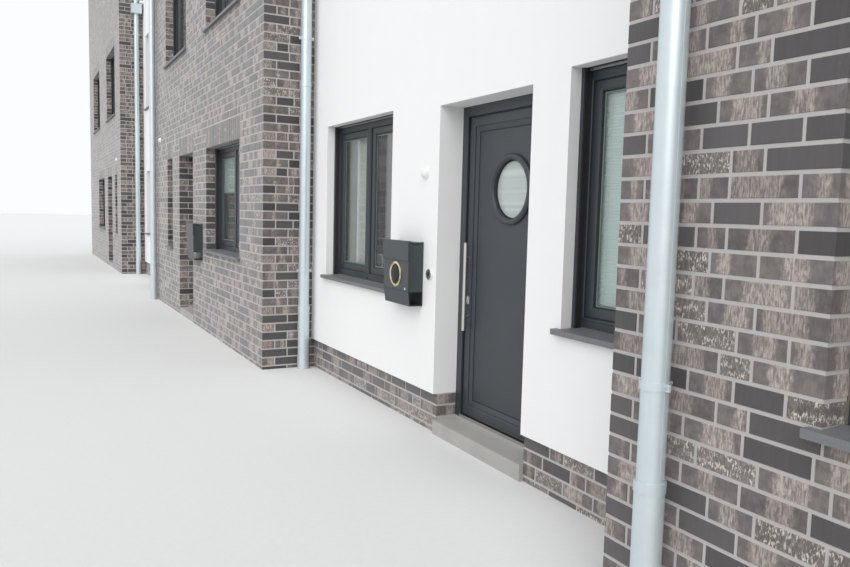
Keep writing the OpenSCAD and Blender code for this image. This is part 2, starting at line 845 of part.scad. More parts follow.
// Letter box: closed box over a newspaper compartment that is open at both sides.
// Its lid laps over the front and the sides, with a raised nose along the front.
lid_gap = 5;
lid_rise = 10;
lid_lap = 20;
box_side = sheet_t + lid_gap;
box_front = -box_d + sheet_t + lid_gap;
rod_r = 2.5;
tube_r = 5;
tube_gap = 2;
plate_top = box_h - lid_rise;
flap_axis_y = -11;
flap_axis_z = plate_top - 4;
body_top = flap_axis_z - tube_r - tube_gap;
ear_l = 10;
ear_back = 4;
ear_h = 14;

module letter_box_body() {
    lip_in = 14;
    back = [[0, 0], [box_front + lip_in, 0], [box_front, paper_h], [box_front, body_top],
        [0, body_top]];
    inner_low = [[-sheet_t, sheet_t], [box_front + lip_in + sheet_t, sheet_t],
        [box_front + sheet_t, paper_h - sheet_t], [-sheet_t, paper_h - sheet_t]];
    slot_in = 40;
    slot_d = 45;
    slot_y = 12;
    lock_r = 8;
    lock_t = 4;
    lock_in = 50;
    lock_rise = 18;
    difference() {
        translate([box_w - box_side, 0, 0]) rotate([90, 0, -90])
            linear_extrude(box_w - 2 * box_side) polygon([for (p = back) [-p[0], p[1]]]);
        translate([box_w, 0, 0]) rotate([90, 0, -90])
            linear_extrude(box_w) polygon([for (p = inner_low) [-p[0], p[1]]]);
        translate([box_side + sheet_t, box_front + sheet_t, paper_h])
            cube([box_w - 2 * box_side - 2 * sheet_t, -box_front - 2 * sheet_t,
                body_top - paper_h - sheet_t]);
        translate([slot_in, box_front + slot_y, body_top - 2 * sheet_t])
            cube([box_w - 2 * slot_in, slot_d, 3 * sheet_t]);
    }
    for (x = [box_side, box_w - box_side - ear_l])
        translate([x, 2 * flap_axis_y + ear_back, body_top])
            cube([ear_l, -2 * flap_axis_y - ear_back, ear_h]);
    translate([box_side + ear_l / 2, flap_axis_y, flap_axis_z]) rotate([0, 90, 0])
        cylinder(r = rod_r, h = box_w - 2 * box_side - ear_l, $fn = 24);
    translate([box_w - lock_in, box_front, paper_h + lock_rise]) rotate([90, 0, 0])
        cylinder(r = lock_r, h = lock_t, $fn = 24);
}

module flap() {
    play = 4;
    tube_x = box_side + ear_l + play;
    plate_y = -box_d + lid_lap - sheet_t;
    difference() {
        union() {
            translate([tube_x, flap_axis_y, flap_axis_z]) rotate([0, 90, 0])
                cylinder(r = tube_r, h = box_w - 2 * tube_x, $fn = 32);
            translate([tube_x, plate_y, plate_top - sheet_t])
                cube([box_w - 2 * tube_x, flap_axis_y - plate_y, sheet_t]);
        }
        translate([0, flap_axis_y, flap_axis_z]) rotate([0, 90, 0])
            cylinder(r = rod_r + pin_gap, h = box_w, $fn = 24);
    }
    translate([0, plate_y, plate_top - sheet_t])
        cube([box_w, 2 * flap_axis_y - play - plate_y, sheet_t]);
    translate([0, plate_y, plate_top - sheet_t]) cube([box_w, sheet_t, lid_rise + sheet_t]);
    translate([0, -box_d, box_h - sheet_t]) cube([box_w, lid_lap, sheet_t]);
    translate([0, -box_d, box_h - flap_h]) {
        cube([box_w, sheet_t, flap_h]);
        for (x = [0, box_w - sheet_t]) translate([x, 0, 0]) cube([sheet_t, lid_lap, flap_h]);
    }
}

module at_letter_box() {
    on_front(entrance) translate([white_door_x - box_to_door - box_w, 0, box_z]) children();
}

module letter_box() { color("#30363a") at_letter_box() letter_box_body(); }
module letter_box_flap() { color("#30363a") at_letter_box() flap(); }

ring_t = 10;
ring_rise = 5;
ring_z = (paper_h + box_h - flap_h) / 2 + ring_rise;

module letter_box_ring() {
    color("gainsboro") at_letter_box() translate([box_w / 2, box_front, ring_z])
        rotate([90, 0, 0]) turned_ring(box_ring_r, box_ring_r - box_ring_w, ring_t);
}

module neighbour_letter_box() {
    i = 2;
    x = run(i, (big_window_x + big_window_w + niche_x) / 2, 0) - box_w / 2;
    color("#30363a") on_front(i) translate([x, 0, box_z]) {
        letter_box_body();
        flap();
    }
}

// Round fittings on the walls: a bell push and small dome lamps
bell_r = 37;
bell_t = 15;
bell_z = 1123;
bell_to_door = 86;
lamp_r = 40;
lamp_z = 1832;
lamp_to_door = 182;
brick_lamp_z = 2620;
brick_lamp_x = [740, undef, 5890];

module dome(r) {
    rotate([90, 0, 0]) rotate_extrude($fn = 48) intersection() {
        circle(r = r, $fn = 64);
        square(r);
    }
}

module wall_fittings() {
    color("gainsboro") {
        on_front(entrance) {
            translate([white_door_x - bell_to_door, 0, bell_z]) rotate([90, 0, 0])
                cylinder(r = bell_r, h = bell_t, $fn = 48);
            translate([white_door_x - lamp_to_door, 0, lamp_z]) dome(lamp_r);
        }
        for (i = [0, 2]) on_front(i)
            translate([run(i, brick_lamp_x[i], 0), 0, brick_lamp_z]) dome(lamp_r);
    }
}

ground_slabs();
upper_floors();
flat_roofs();
party_walls();
brick_front_ground();
brick_front_first();
brick_front_second();
brick_rear_ground();
brick_rear_first();
brick_rear_second();
white_front_ground();
entrance_wall_left();
entrance_wall_right();
white_front_upper();
white_rear_ground();
white_rear_upper();
white_plinths();
brick_copings();
white_copings();
front_frames_ground();
front_frames_upper();
rear_frames();
front_panes();
rear_panes();
front_sills();
rear_sills();
door_steps();
thresholds();
closed_door_frames();
closed_doors();
entrance_door_frame();
entrance_hinge_posts();
entrance_hinge_wings();
entrance_door_leaf();
entrance_door_ring();
entrance_door_pane();
entrance_door_handles();
front_downpipes();
side_downpipes();
roof_spouts();
letter_box();
letter_box_flap();
letter_box_ring();
neighbour_letter_box();
wall_fittings();
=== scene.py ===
"""Dresses a packed row of terraced houses with bricks, glazing and metalwork on a plain stage."""

import sys
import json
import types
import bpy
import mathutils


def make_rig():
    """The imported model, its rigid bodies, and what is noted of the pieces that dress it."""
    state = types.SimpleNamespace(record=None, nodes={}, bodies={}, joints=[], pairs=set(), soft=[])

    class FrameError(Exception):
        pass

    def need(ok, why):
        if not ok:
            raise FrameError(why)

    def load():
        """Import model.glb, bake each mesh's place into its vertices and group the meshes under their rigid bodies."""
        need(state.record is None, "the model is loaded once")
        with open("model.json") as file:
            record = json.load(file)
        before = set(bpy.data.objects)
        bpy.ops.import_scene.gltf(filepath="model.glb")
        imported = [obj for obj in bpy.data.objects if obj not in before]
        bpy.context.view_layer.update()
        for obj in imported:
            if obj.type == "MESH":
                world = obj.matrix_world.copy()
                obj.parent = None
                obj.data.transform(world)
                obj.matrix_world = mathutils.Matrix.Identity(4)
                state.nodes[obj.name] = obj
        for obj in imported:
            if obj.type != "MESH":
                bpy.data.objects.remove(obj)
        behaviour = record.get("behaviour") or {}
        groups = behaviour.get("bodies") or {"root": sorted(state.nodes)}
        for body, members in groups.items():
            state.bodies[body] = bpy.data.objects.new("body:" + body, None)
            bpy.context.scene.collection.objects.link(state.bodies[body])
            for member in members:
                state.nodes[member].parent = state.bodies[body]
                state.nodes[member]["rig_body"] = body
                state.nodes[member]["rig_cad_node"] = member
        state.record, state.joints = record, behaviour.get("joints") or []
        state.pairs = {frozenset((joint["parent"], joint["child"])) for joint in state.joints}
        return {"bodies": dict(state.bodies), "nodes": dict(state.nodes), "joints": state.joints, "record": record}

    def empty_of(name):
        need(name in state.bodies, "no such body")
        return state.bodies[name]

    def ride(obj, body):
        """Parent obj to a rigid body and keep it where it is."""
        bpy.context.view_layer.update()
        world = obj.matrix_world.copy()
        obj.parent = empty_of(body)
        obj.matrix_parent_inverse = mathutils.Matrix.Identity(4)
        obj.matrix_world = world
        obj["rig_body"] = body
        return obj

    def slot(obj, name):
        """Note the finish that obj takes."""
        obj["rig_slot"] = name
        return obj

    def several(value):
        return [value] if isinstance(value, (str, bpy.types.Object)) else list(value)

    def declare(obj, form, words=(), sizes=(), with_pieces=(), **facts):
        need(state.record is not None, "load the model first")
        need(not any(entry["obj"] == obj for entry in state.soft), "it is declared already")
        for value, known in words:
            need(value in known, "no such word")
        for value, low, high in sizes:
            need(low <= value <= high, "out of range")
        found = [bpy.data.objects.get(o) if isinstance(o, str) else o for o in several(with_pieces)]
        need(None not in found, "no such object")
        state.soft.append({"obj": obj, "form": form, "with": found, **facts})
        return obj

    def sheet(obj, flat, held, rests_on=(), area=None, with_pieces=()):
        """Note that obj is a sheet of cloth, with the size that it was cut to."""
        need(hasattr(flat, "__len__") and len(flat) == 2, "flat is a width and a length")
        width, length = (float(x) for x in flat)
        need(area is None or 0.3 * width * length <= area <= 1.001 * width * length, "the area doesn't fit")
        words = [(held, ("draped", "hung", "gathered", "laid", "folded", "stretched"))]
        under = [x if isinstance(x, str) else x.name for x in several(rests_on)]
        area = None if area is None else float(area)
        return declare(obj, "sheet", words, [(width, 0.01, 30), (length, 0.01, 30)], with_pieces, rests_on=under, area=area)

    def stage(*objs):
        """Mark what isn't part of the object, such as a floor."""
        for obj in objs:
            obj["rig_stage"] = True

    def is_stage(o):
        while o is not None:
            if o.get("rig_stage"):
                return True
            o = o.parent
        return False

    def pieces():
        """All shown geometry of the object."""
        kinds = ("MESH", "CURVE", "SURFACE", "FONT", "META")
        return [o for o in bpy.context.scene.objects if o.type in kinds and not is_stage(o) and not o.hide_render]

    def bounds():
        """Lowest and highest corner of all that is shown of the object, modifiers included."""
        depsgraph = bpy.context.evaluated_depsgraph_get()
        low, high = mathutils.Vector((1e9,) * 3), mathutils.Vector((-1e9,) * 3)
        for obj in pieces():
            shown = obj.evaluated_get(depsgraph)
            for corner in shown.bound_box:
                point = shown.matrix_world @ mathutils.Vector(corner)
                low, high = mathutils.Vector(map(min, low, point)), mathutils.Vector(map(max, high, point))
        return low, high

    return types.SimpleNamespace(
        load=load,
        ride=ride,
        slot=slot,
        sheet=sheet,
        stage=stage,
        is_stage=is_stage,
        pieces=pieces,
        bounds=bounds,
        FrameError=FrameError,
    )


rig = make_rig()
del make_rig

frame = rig.load()

import json
import math

import bpy
import numpy as np
from mathutils import Matrix

CAD_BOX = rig.bounds()

bl_info = {
    "name": "Terraced house row",
    "version": (1, 0, 0),
    "blender": (4, 5, 0),
    "location": "View3D > Sidebar > House row",
    "description": "Lays the bricks and dresses the windows, doors, pipes and roofs of a terrace",
    "category": "Add Mesh",
}

SEED = 7
BODY = "row"
DOOR_BODY = "entrance_door"
X, Y, Z = np.eye(3)
PICTURE_WIDTH = 850


# Sizes and colours that a user would change

def metres(name, default, description):
    return bpy.props.FloatProperty(name=name, description=description, default=default,
                                   unit="LENGTH")


def colour(name, default, description):
    return bpy.props.FloatVectorProperty(name=name, description=description, default=default,
                                         subtype="COLOR", size=3)


def number(name, default, description):
    return bpy.props.FloatProperty(name=name, description=description, default=default)


class BrickSizes(bpy.types.PropertyGroup):
    """Format of the bricks, their courses and joints"""
    length: metres("Length", 0.240, "Length of a stretcher")
    width: metres("Width", 0.115, "Length of a header")
    height: metres("Height", 0.0695, "Height of a brick")
    course: metres("Course", 1 / 12, "Height from bed joint to bed joint")
    joint: metres("Joint", 0.0125, "Width of an upright joint")
    first_bed: metres("First bed", 0.033, "Height of the lowest bed joint")
    proud: metres("Proud", 0.0025, "How far a brick stands out of its mortar")
    chamfer: metres("Chamfer", 0.0018, "Width of a brick's worn edge")


class GlazingSizes(bpy.types.PropertyGroup):
    """Widths of the window frames and what hangs in them"""
    fixed: metres("Fixed frame", 0.041, "Face width of the fixed frame at its sides")
    head: metres("Head", 0.065, "Face width of the fixed frame above and below")
    post: metres("Post", 0.071, "Face width of the post between casements")
    casement: metres("Casement", 0.057, "Face width of a casement")
    rail: metres("Rail", 0.024, "Width of a shutter's guide rail")
    rail_out: metres("Rail out", 0.050, "How far a guide rail stands out of the frame")
    sill: metres("Sill", 0.030, "Part of the frame that the stone sill hides")
    slat_pitch: metres("Slat pitch", 0.016, "Height from slat to slat of a blind")


class Finishes(bpy.types.PropertyGroup):
    """Colours of the main finishes"""
    brick_dark: colour("Dark brick", (0.066, 0.060, 0.062), "Smooth face of a brick")
    brick_brown: colour("Brown brick", (0.150, 0.128, 0.121), "Hollows of a rough patch")
    brick_rough: colour("Rough brick", (0.400, 0.335, 0.305), "Ridges of a rough patch")
    brick_pale: colour("Brick scars", (0.64, 0.57, 0.51), "Pale scars of a brick")
    mortar: colour("Mortar", (0.46, 0.44, 0.425), "Pointing between the bricks")
    render: colour("Render", (0.86, 0.86, 0.855), "White render")
    paint: colour("Anthracite", (0.036, 0.043, 0.050), "Window frames and doors")
    zinc: colour("Zinc", (0.60, 0.675, 0.70), "Rainwater pipes")


class StageSettings(bpy.types.PropertyGroup):
    """The photo's camera and the strengths of the lights"""
    focal: number("Focal length", 759.3, "Focal length in pixels of a picture 850 pixels wide")
    eye: bpy.props.FloatVectorProperty(
        name="Eye", description="Where the camera stands", size=3, subtype="TRANSLATION",
        default=(11.1265, -7.2971, 1.5501))
    heading: number("Heading", 28.163, "Turn of the view from -X to the wall, in degrees")
    dip: number("Dip", 5.284, "Fall of the view below level, in degrees")
    roll: number("Roll", 1.429, "Roll of the camera, in degrees")
    sun: number("Sun", 1.74, "Strength of the soft sun")
    sky: number("Sky", 0.90, "Strength of the even sky")


# Shader maths

class Value:
    """One output socket. Arithmetic on values adds Math nodes to the material."""

    def __init__(self, shader, socket):
        self.shader = shader
        self.socket = socket

    def __add__(self, other):
        return self.shader.math("ADD", self, other)

    def __sub__(self, other):
        return self.shader.math("SUBTRACT", self, other)

    def __rsub__(self, other):
        return self.shader.math("SUBTRACT", other, self)

    def __mul__(self, other):
        return self.shader.math("MULTIPLY", self, other)

    def __abs__(self):
        return self.shader.math("ABSOLUTE", self, 0.0)

    __radd__ = __add__


class Shader:
    """A node material with one Principled shader, built from expressions."""

    def __init__(self, name, **constants):
        self.material = bpy.data.materials.new(name)
        self.material.use_nodes = True
        self.tree = self.material.node_tree
        self.principled = self.tree.nodes["Principled BSDF"]
        for socket, value in constants.items():
            self.set(socket.replace("_", " ").title().replace("Ior", "IOR"), value)

    def set(self, socket, value):
        """Gives one socket of the Principled shader a value or a link."""
        self._feed(self.principled.inputs[socket], value)

    def _feed(self, socket, value):
        if isinstance(value, Value):
            self.tree.links.new(value.socket, socket)
        elif hasattr(value, "__len__") and len(value) == 3 and socket.type == "RGBA":
            socket.default_value = (*value, 1.0)
        else:
            socket.default_value = value

    def node(self, kind, settings=None, out=0, **inputs):
        """Adds a node of that type: settings first, then the values or links of its sockets.
        An input's name is its socket's name in small letters, or in1, in2 for its place."""
        node = self.tree.nodes.new(kind)
        for key, value in (settings or {}).items():
            if key == "stops":
                ramp = node.color_ramp.elements
                while len(ramp) < len(value):
                    ramp.new(0.5)
                for element, (place, level) in zip(ramp, value):
                    element.position = place
                    element.color = (level, level, level, 1.0)
            else:
                setattr(node, key, value)
        names = {socket.name.lower().replace(" ", "_"): socket
                 for socket in reversed(node.inputs[:])}
        for key, value in inputs.items():
            by_place = key[:2] == "in" and key[2:].isdigit()
            self._feed(node.inputs[int(key[2:])] if by_place else names[key], value)
        return Value(self, node.outputs[out])

    def math(self, operation, a, b):
        return self.node("ShaderNodeMath", {"operation": operation}, in0=a, in1=b)

    def place(self):
        """Object coordinates in metres."""
        return self.node("ShaderNodeTexCoord", out=3)

    def surface(self):
        """The piece's own surface coordinates in metres."""
        return self.node("ShaderNodeUVMap", {"uv_map": "surface"})

    def attribute(self, name):
        return self.node("ShaderNodeAttribute", {"attribute_name": name})

    def split(self, vector):
        node = self.tree.nodes.new("ShaderNodeSeparateXYZ")
        self._feed(node.inputs[0], vector)
        return [Value(self, socket) for socket in node.outputs]

    def join(self, x, y, z):
        return self.node("ShaderNodeCombineXYZ", in0=x, in1=y, in2=z)

    def stretch(self, vector, x, y, z):
        return self.node("ShaderNodeVectorMath", {"operation": "MULTIPLY"}, in0=vector,
                         in1=(x, y, z))

    def noise(self, vector, scale, detail=3.0, roughness=0.55):
        return self.node("ShaderNodeTexNoise", vector=vector, scale=scale, detail=detail,
                         roughness=roughness)

    def cells(self, vector, scale, out=0):
        return self.node("ShaderNodeTexVoronoi", out=out, vector=vector, scale=scale)

    def ramp(self, value, low, high):
        """0 below low, 1 above high, smooth between."""
        return self.node("ShaderNodeMapRange", {"interpolation_type": "SMOOTHSTEP"}, value=value,
                         from_min=low, from_max=high)

    def mix(self, factor, a, b):
        return self.node("ShaderNodeMix", {"data_type": "RGBA"}, out=2, in0=factor, in6=a, in7=b)

    def tint(self, colour, value):
        """The colour made lighter or darker by a value."""
        return self.node("ShaderNodeMix", {"data_type": "RGBA", "blend_type": "MULTIPLY"}, out=2,
                         in0=1.0, in6=colour, in7=self.join(value, value, value))

    def bump(self, height, depth, strength=1.0):
        self.set("Normal", self.node("ShaderNodeBump", height=height, distance=depth,
                                     strength=strength))


MADE = {}


def finish_named(name):
    """The material of that name, made once."""
    if name not in MADE:
        MADE[name] = globals()["make_" + name]().material
    return MADE[name]


def look():
    """The colours that a user may have changed."""
    return bpy.context.scene.house_row_finishes


def make_brick():
    """Three kinds: smooth and dark; brown with a paler, furrowed patch; dark with cream scars.
    The brick's marks are its tone, half the width of its patch in metres, which is 0 on a
    smooth brick and 1 on a scarred one, and a seed."""
    s = Shader("brick", sheen_weight=0.40, sheen_roughness=0.45)
    l, h, _ = s.split(s.surface())
    tone, patch, seed = s.split(s.attribute("brick"))
    own = s.join(l, h, seed * 37.0)
    textured, scarred = s.ramp(patch, 0.004, 0.010), s.ramp(patch, 0.4, 0.6)
    middle = (s.math("FRACT", seed * 7.3, 0.0) - 0.5) * 0.07
    edge = patch + (s.noise(own, 40.0, 3.0) - 0.5) * 0.05 - abs(l - middle) - 0.012
    pale = s.ramp(edge, -0.010, 0.016) * (1.0 - scarred * 0.72)
    grain = s.noise(own, 420.0, 3.0, 0.6)
    furrows = s.noise(s.stretch(own, 140.0, 30.0, 1.0), 1.0, 3.0, 0.6)
    ridges = s.ramp(furrows + (grain - 0.5) * 0.3, 0.34, 0.68)
    blots = s.noise(s.stretch(own, 170.0, 60.0, 1.0), 1.0, 3.0, 0.6)
    cluster = s.ramp(s.noise(s.stretch(own, 24.0, 34.0, 1.0), 1.0, 3.0), 0.38, 0.60)
    scars = s.ramp(blots + cluster * 0.06 + (grain - 0.5) * 0.20, 0.53, 0.68)
    scars = scars * (cluster * 0.8 + 0.2) * (scarred + pale * s.ramp(tone, 0.4, 0.9) * 0.35)
    cloud = s.ramp(s.noise(own, 26.0, 3.0), 0.34, 0.66)
    streaks = s.noise(s.stretch(own, 60.0, 7.0, 1.0), 1.0, 2.0)
    smooth = s.tint(look().brick_dark,
                    tone * 0.55 + 0.50 + streaks * 0.40 + (grain - 0.5) * 0.35)
    brown = s.tint(look().brick_brown, furrows * 0.9 + tone * 0.35 + 0.40)
    body = s.mix(textured * (cloud * 0.55 + 0.45) * (1.0 - scarred * 0.5), smooth, brown)
    patchy = s.tint(s.mix(ridges, look().brick_brown, look().brick_rough), tone * 0.35 + 0.88)
    colour = s.mix(pale * 0.92, body, patchy)
    s.set("Base Color", s.mix(scars, colour, look().brick_pale))
    s.set("Roughness", textured * 0.20 + pale * 0.08 + grain * 0.14 + 0.40)
    s.bump((pale + textured * 0.4) * furrows - pale * 0.4 + scars * 0.4 + grain * 0.2, 0.0014)
    return s


def make_mortar():
    """Pale, sandy pointing with stains."""
    s = Shader("mortar", roughness=0.93, sheen_weight=0.15)
    at = s.place()
    sand = s.noise(at, 900.0, 3.0, 0.65)
    cloud = s.noise(at, 5.0, 4.0, 0.6)
    s.set("Base Color", s.tint(look().mortar, 0.72 + sand * 0.30 + cloud * 0.26))
    s.bump(sand + cloud * 0.3, 0.0012)
    return s


def make_white_render():
    """Fine scraped render: grains of about 2 mm, faint clouds and slight run-off marks."""
    s = Shader("white_render", roughness=0.92)
    at = s.place()
    grain = s.noise(at, 420.0, 4.0, 0.62)
    pits = s.ramp(s.cells(at, 260.0), 0.10, 0.36)
    cloud = s.noise(at, 1.3, 5.0, 0.6)
    runs = s.noise(s.stretch(at, 9.0, 9.0, 0.8), 1.0, 3.0, 0.6)
    s.set("Base Color", s.tint(look().render, 0.955 + grain * 0.04 + cloud * 0.03 + runs * 0.02))
    s.bump(grain * 0.7 + pits * 0.5, 0.0016, 0.8)
    return s


def make_anthracite():
    """Satin coating with a very fine grain and faint dust."""
    s = Shader("anthracite", specular_ior_level=0.5)
    at = s.place()
    fine = s.noise(at, 1500.0, 2.0, 0.5)
    dust = s.noise(s.stretch(at, 3.0, 3.0, 1.2), 2.0, 4.0, 0.6)
    s.set("Base Color", s.tint(look().paint, 0.86 + dust * 0.24 + fine * 0.06))
    s.set("Roughness", 0.30 + dust * 0.14)
    s.bump(fine, 0.00012, 0.6)
    return s


def make_box_coat():
    """Satin, slightly greener coating of the letter boxes."""
    s = Shader("box_coat", specular_ior_level=0.5)
    at = s.place()
    fine = s.noise(at, 1100.0, 2.0, 0.5)
    dust = s.noise(at, 6.0, 4.0, 0.6)
    s.set("Base Color", s.tint((0.040, 0.050, 0.054), 0.86 + dust * 0.28))
    s.set("Roughness", 0.34 + dust * 0.16)
    s.bump(fine, 0.00015, 0.6)
    return s


def filmed(name, tone, grain, shade, rough, **constants):
    """A plain coat: one noise, given by its scale, detail and roughness, raises the colour's
    shade and the coat's roughness, each given by its lowest value and the most that is added."""
    s = Shader(name, **constants)
    film = s.noise(s.place(), *grain)
    s.set("Base Color", s.tint(tone, shade[0] + film * shade[1]))
    s.set("Roughness", rough[0] + film * rough[1])
    return s


def make_rubber():
    """Black seals, and painted shade: dark pieces that stand in for the shade in slots, gaps, creases and keyholes."""
    return filmed("rubber", (0.016, 0.016, 0.017), (700.0, 2.0, 0.5), (0.7, 0.6), (0.62, 0.2))


def make_clear_glass():
    """Thin, slightly green glass: what lies behind shows, and the sky mirrors by Fresnel."""
    s = Shader("clear_glass", ior=1.52, transmission_weight=0.955)
    at = s.place()
    film = s.noise(s.stretch(at, 1.0, 1.0, 0.5), 3.0, 3.0, 0.6)
    s.set("Base Color", s.tint((0.88, 0.945, 0.93), 0.96 + film * 0.05))
    s.set("Roughness", 0.015 + film * 0.02)
    s.bump(s.noise(at, 1.7, 1.0, 0.5), 0.0006)
    return s


def make_satin_glass():
    """Milky glass of the round door panes."""
    s = Shader("satin_glass", ior=1.5, transmission_weight=0.35)
    at = s.place()
    film = s.noise(at, 9.0, 3.0, 0.6)
    _, _, z = s.split(at)
    bands = s.ramp(s.noise(s.join(0.0, 0.0, z), 13.0, 2.0), 0.45, 0.62)
    s.set("Base Color", s.tint((0.70, 0.76, 0.75), 0.84 + film * 0.08 + bands * 0.22))
    s.set("Roughness", 0.10 + film * 0.08)
    return s


def make_sill_stone():
    """Flamed dark stone with fine pale specks."""
    s = Shader("sill_stone")
    at = s.place()
    fleck = s.ramp(s.noise(at, 900.0, 2.0, 0.6), 0.60, 0.70)
    grain = s.noise(at, 260.0, 3.0, 0.6)
    wear = s.noise(at, 7.0, 4.0, 0.6)
    shade = 1.0 + grain * 0.6 + fleck * 1.6 + wear * 0.4
    s.set("Base Color", s.tint((0.105, 0.110, 0.116), shade))
    s.set("Roughness", 0.42 + grain * 0.2)
    s.bump(grain + fleck * 0.4, 0.0006, 0.7)
    return s


def make_stainless():
    """Brushed along its length."""
    s = Shader("stainless", metallic=1.0)
    at = s.place()
    brush = s.noise(s.stretch(at, 1400.0, 1400.0, 30.0), 1.0, 2.0, 0.5)
    s.set("Base Color", s.tint((0.63, 0.62, 0.60), 0.86 + brush * 0.24))
    s.set("Roughness", 0.22 + brush * 0.14)
    s.bump(brush, 0.00008, 0.5)
    return s


def make_chrome():
    """Polished ring with a painted straw-coloured reflection on parts of it."""
    s = Shader("chrome", metallic=1.0)
    at = s.place()
    film = s.noise(at, 60.0, 3.0, 0.6)
    # Painted reflection: patches of straw colour stand in for a warm reflection in the polished metal.
    bloom = s.ramp(s.noise(at, 13.0, 2.0), 0.42, 0.58)
    s.set("Base Color", s.tint(s.mix(bloom, (0.74, 0.73, 0.70), (0.62, 0.43, 0.16)),
                               0.86 + film * 0.16))
    s.set("Roughness", 0.06 + film * 0.10)
    return s


def make_zinc():
    """Weathered pale zinc with cloudy bloom and fine run marks."""
    s = Shader("zinc", metallic=0.45)
    at = s.place()
    bloom = s.noise(at, 9.0, 5.0, 0.62)
    runs = s.noise(s.stretch(at, 60.0, 60.0, 2.0), 1.0, 3.0, 0.6)
    dots = s.ramp(s.noise(at, 170.0, 2.0, 0.5), 0.72, 0.80)
    s.set("Base Color", s.tint(look().zinc, 0.88 + bloom * 0.16 + runs * 0.08 - dots * 0.12))
    s.set("Roughness", 0.26 + bloom * 0.14)
    s.bump(bloom * 0.5 + runs * 0.2, 0.0008, 0.5)
    return s


def make_coping_metal():
    """Dark coated sheet, a little wavy, with dust."""
    s = Shader("coping_metal", specular_ior_level=0.5)
    at = s.place()
    dust = s.noise(at, 5.0, 5.0, 0.62)
    pans = s.noise(s.stretch(at, 1.2, 1.2, 1.2), 1.0, 1.0, 0.5)
    s.set("Base Color", s.tint((0.062, 0.068, 0.075), 0.8 + dust * 0.5))
    s.set("Roughness", 0.42 + dust * 0.16)
    s.bump(pans, 0.010, 0.3)
    return s


def make_roof_gravel():
    """River gravel of 16 to 32 mm as cells, each stone its own grey."""
    s = Shader("roof_gravel", roughness=0.9)
    at = s.place()
    stones = s.cells(at, 42.0)
    tone, warmth, _ = s.split(s.cells(at, 42.0, out=1))
    colour = s.mix(warmth * 0.7, (0.30, 0.29, 0.275), (0.36, 0.30, 0.24))
    s.set("Base Color", s.tint(colour, 0.45 + tone * 0.8 + s.noise(at, 2.0, 3.0) * 0.3))
    s.bump(1.0 - s.ramp(stones, 0.0, 0.75), 0.012, 0.9)
    return s


def make_concrete():
    """Cloudy fair-faced concrete with pores."""
    s = Shader("concrete", roughness=0.85)
    at = s.place()
    cloud = s.noise(at, 3.0, 5.0, 0.62)
    fine = s.noise(at, 240.0, 3.0, 0.6)
    pores = s.ramp(s.cells(at, 70.0), 0.03, 0.09)
    s.set("Base Color", s.tint((0.42, 0.41, 0.39), 0.62 + cloud * 0.45 + fine * 0.2))
    s.bump(fine * 0.4 + pores, 0.0012, 0.7)
    return s


def make_white_plastic():
    """Lamps, roof spouts, window handles and lock caps."""
    return filmed("white_plastic", (0.80, 0.80, 0.785), (30.0, 3.0, 0.6), (0.92, 0.10),
                  (0.30, 0.16), specular_ior_level=0.5)


def make_blind_slat():
    """Pale coated slats, each a little different."""
    s = Shader("blind_slat")
    _, _, z = s.split(s.place())
    strip = s.noise(s.join(0.0, 0.0, z), 60.0, 1.0)
    s.set("Base Color", s.tint((0.87, 0.96, 0.95), 0.92 + strip * 0.14))
    s.set("Roughness", 0.40 + strip * 0.1)
    return s


def make_curtain_cloth():
    """Light voile: a fine plain weave."""
    s = Shader("curtain_cloth", roughness=0.95)
    u, v, _ = s.split(s.surface())
    warp = s.node("ShaderNodeTexWave", {"wave_type": "BANDS"}, vector=s.join(u, 0.0, 0.0),
                  scale=170.0, out=1)
    weft = s.node("ShaderNodeTexWave", {"wave_type": "BANDS", "bands_direction": "Y"},
                  vector=s.join(0.0, v, 0.0), scale=170.0, out=1)
    weave = warp * 0.5 + weft * 0.5
    slub = s.noise(s.join(u, v, 0.0), 55.0, 3.0)
    s.set("Base Color", s.tint((0.90, 0.89, 0.85), 0.84 + weave * 0.10 + slub * 0.12))
    s.bump(weave, 0.0003, 0.5)
    return s


def make_lens():
    """Dark domed glass of the letter box's round window."""
    return filmed("lens", (0.012, 0.015, 0.013), (26.0, 3.0, 0.6), (0.5, 1.0), (0.12, 0.06),
                  specular_ior_level=0.12)


def make_spacer():
    """Greenish bar that shows round the edge of a double pane."""
    return filmed("spacer", (0.15, 0.20, 0.18), (90.0, 2.0, 0.5), (0.85, 0.3), (0.35, 0.2),
                  specular_ior_level=0.4)


def make_aluminium():
    """Mill-finished end bars, foot rails and curtain rod."""
    s = Shader("aluminium", metallic=0.9)
    brush = s.noise(s.stretch(s.place(), 30.0, 900.0, 900.0), 1.0, 2.0, 0.5)
    s.set("Base Color", s.tint((0.42, 0.43, 0.44), 0.8 + brush * 0.3))
    s.set("Roughness", 0.32 + brush * 0.14)
    return s


def make_sealant():
    """Tan joint filler, drawn off by hand."""
    s = Shader("sealant", roughness=0.7)
    at = s.place()
    drag = s.noise(at, 60.0, 3.0, 0.6)
    s.set("Base Color", s.tint((0.17, 0.145, 0.12), 0.75 + drag * 0.5))
    s.bump(drag, 0.0008)
    return s


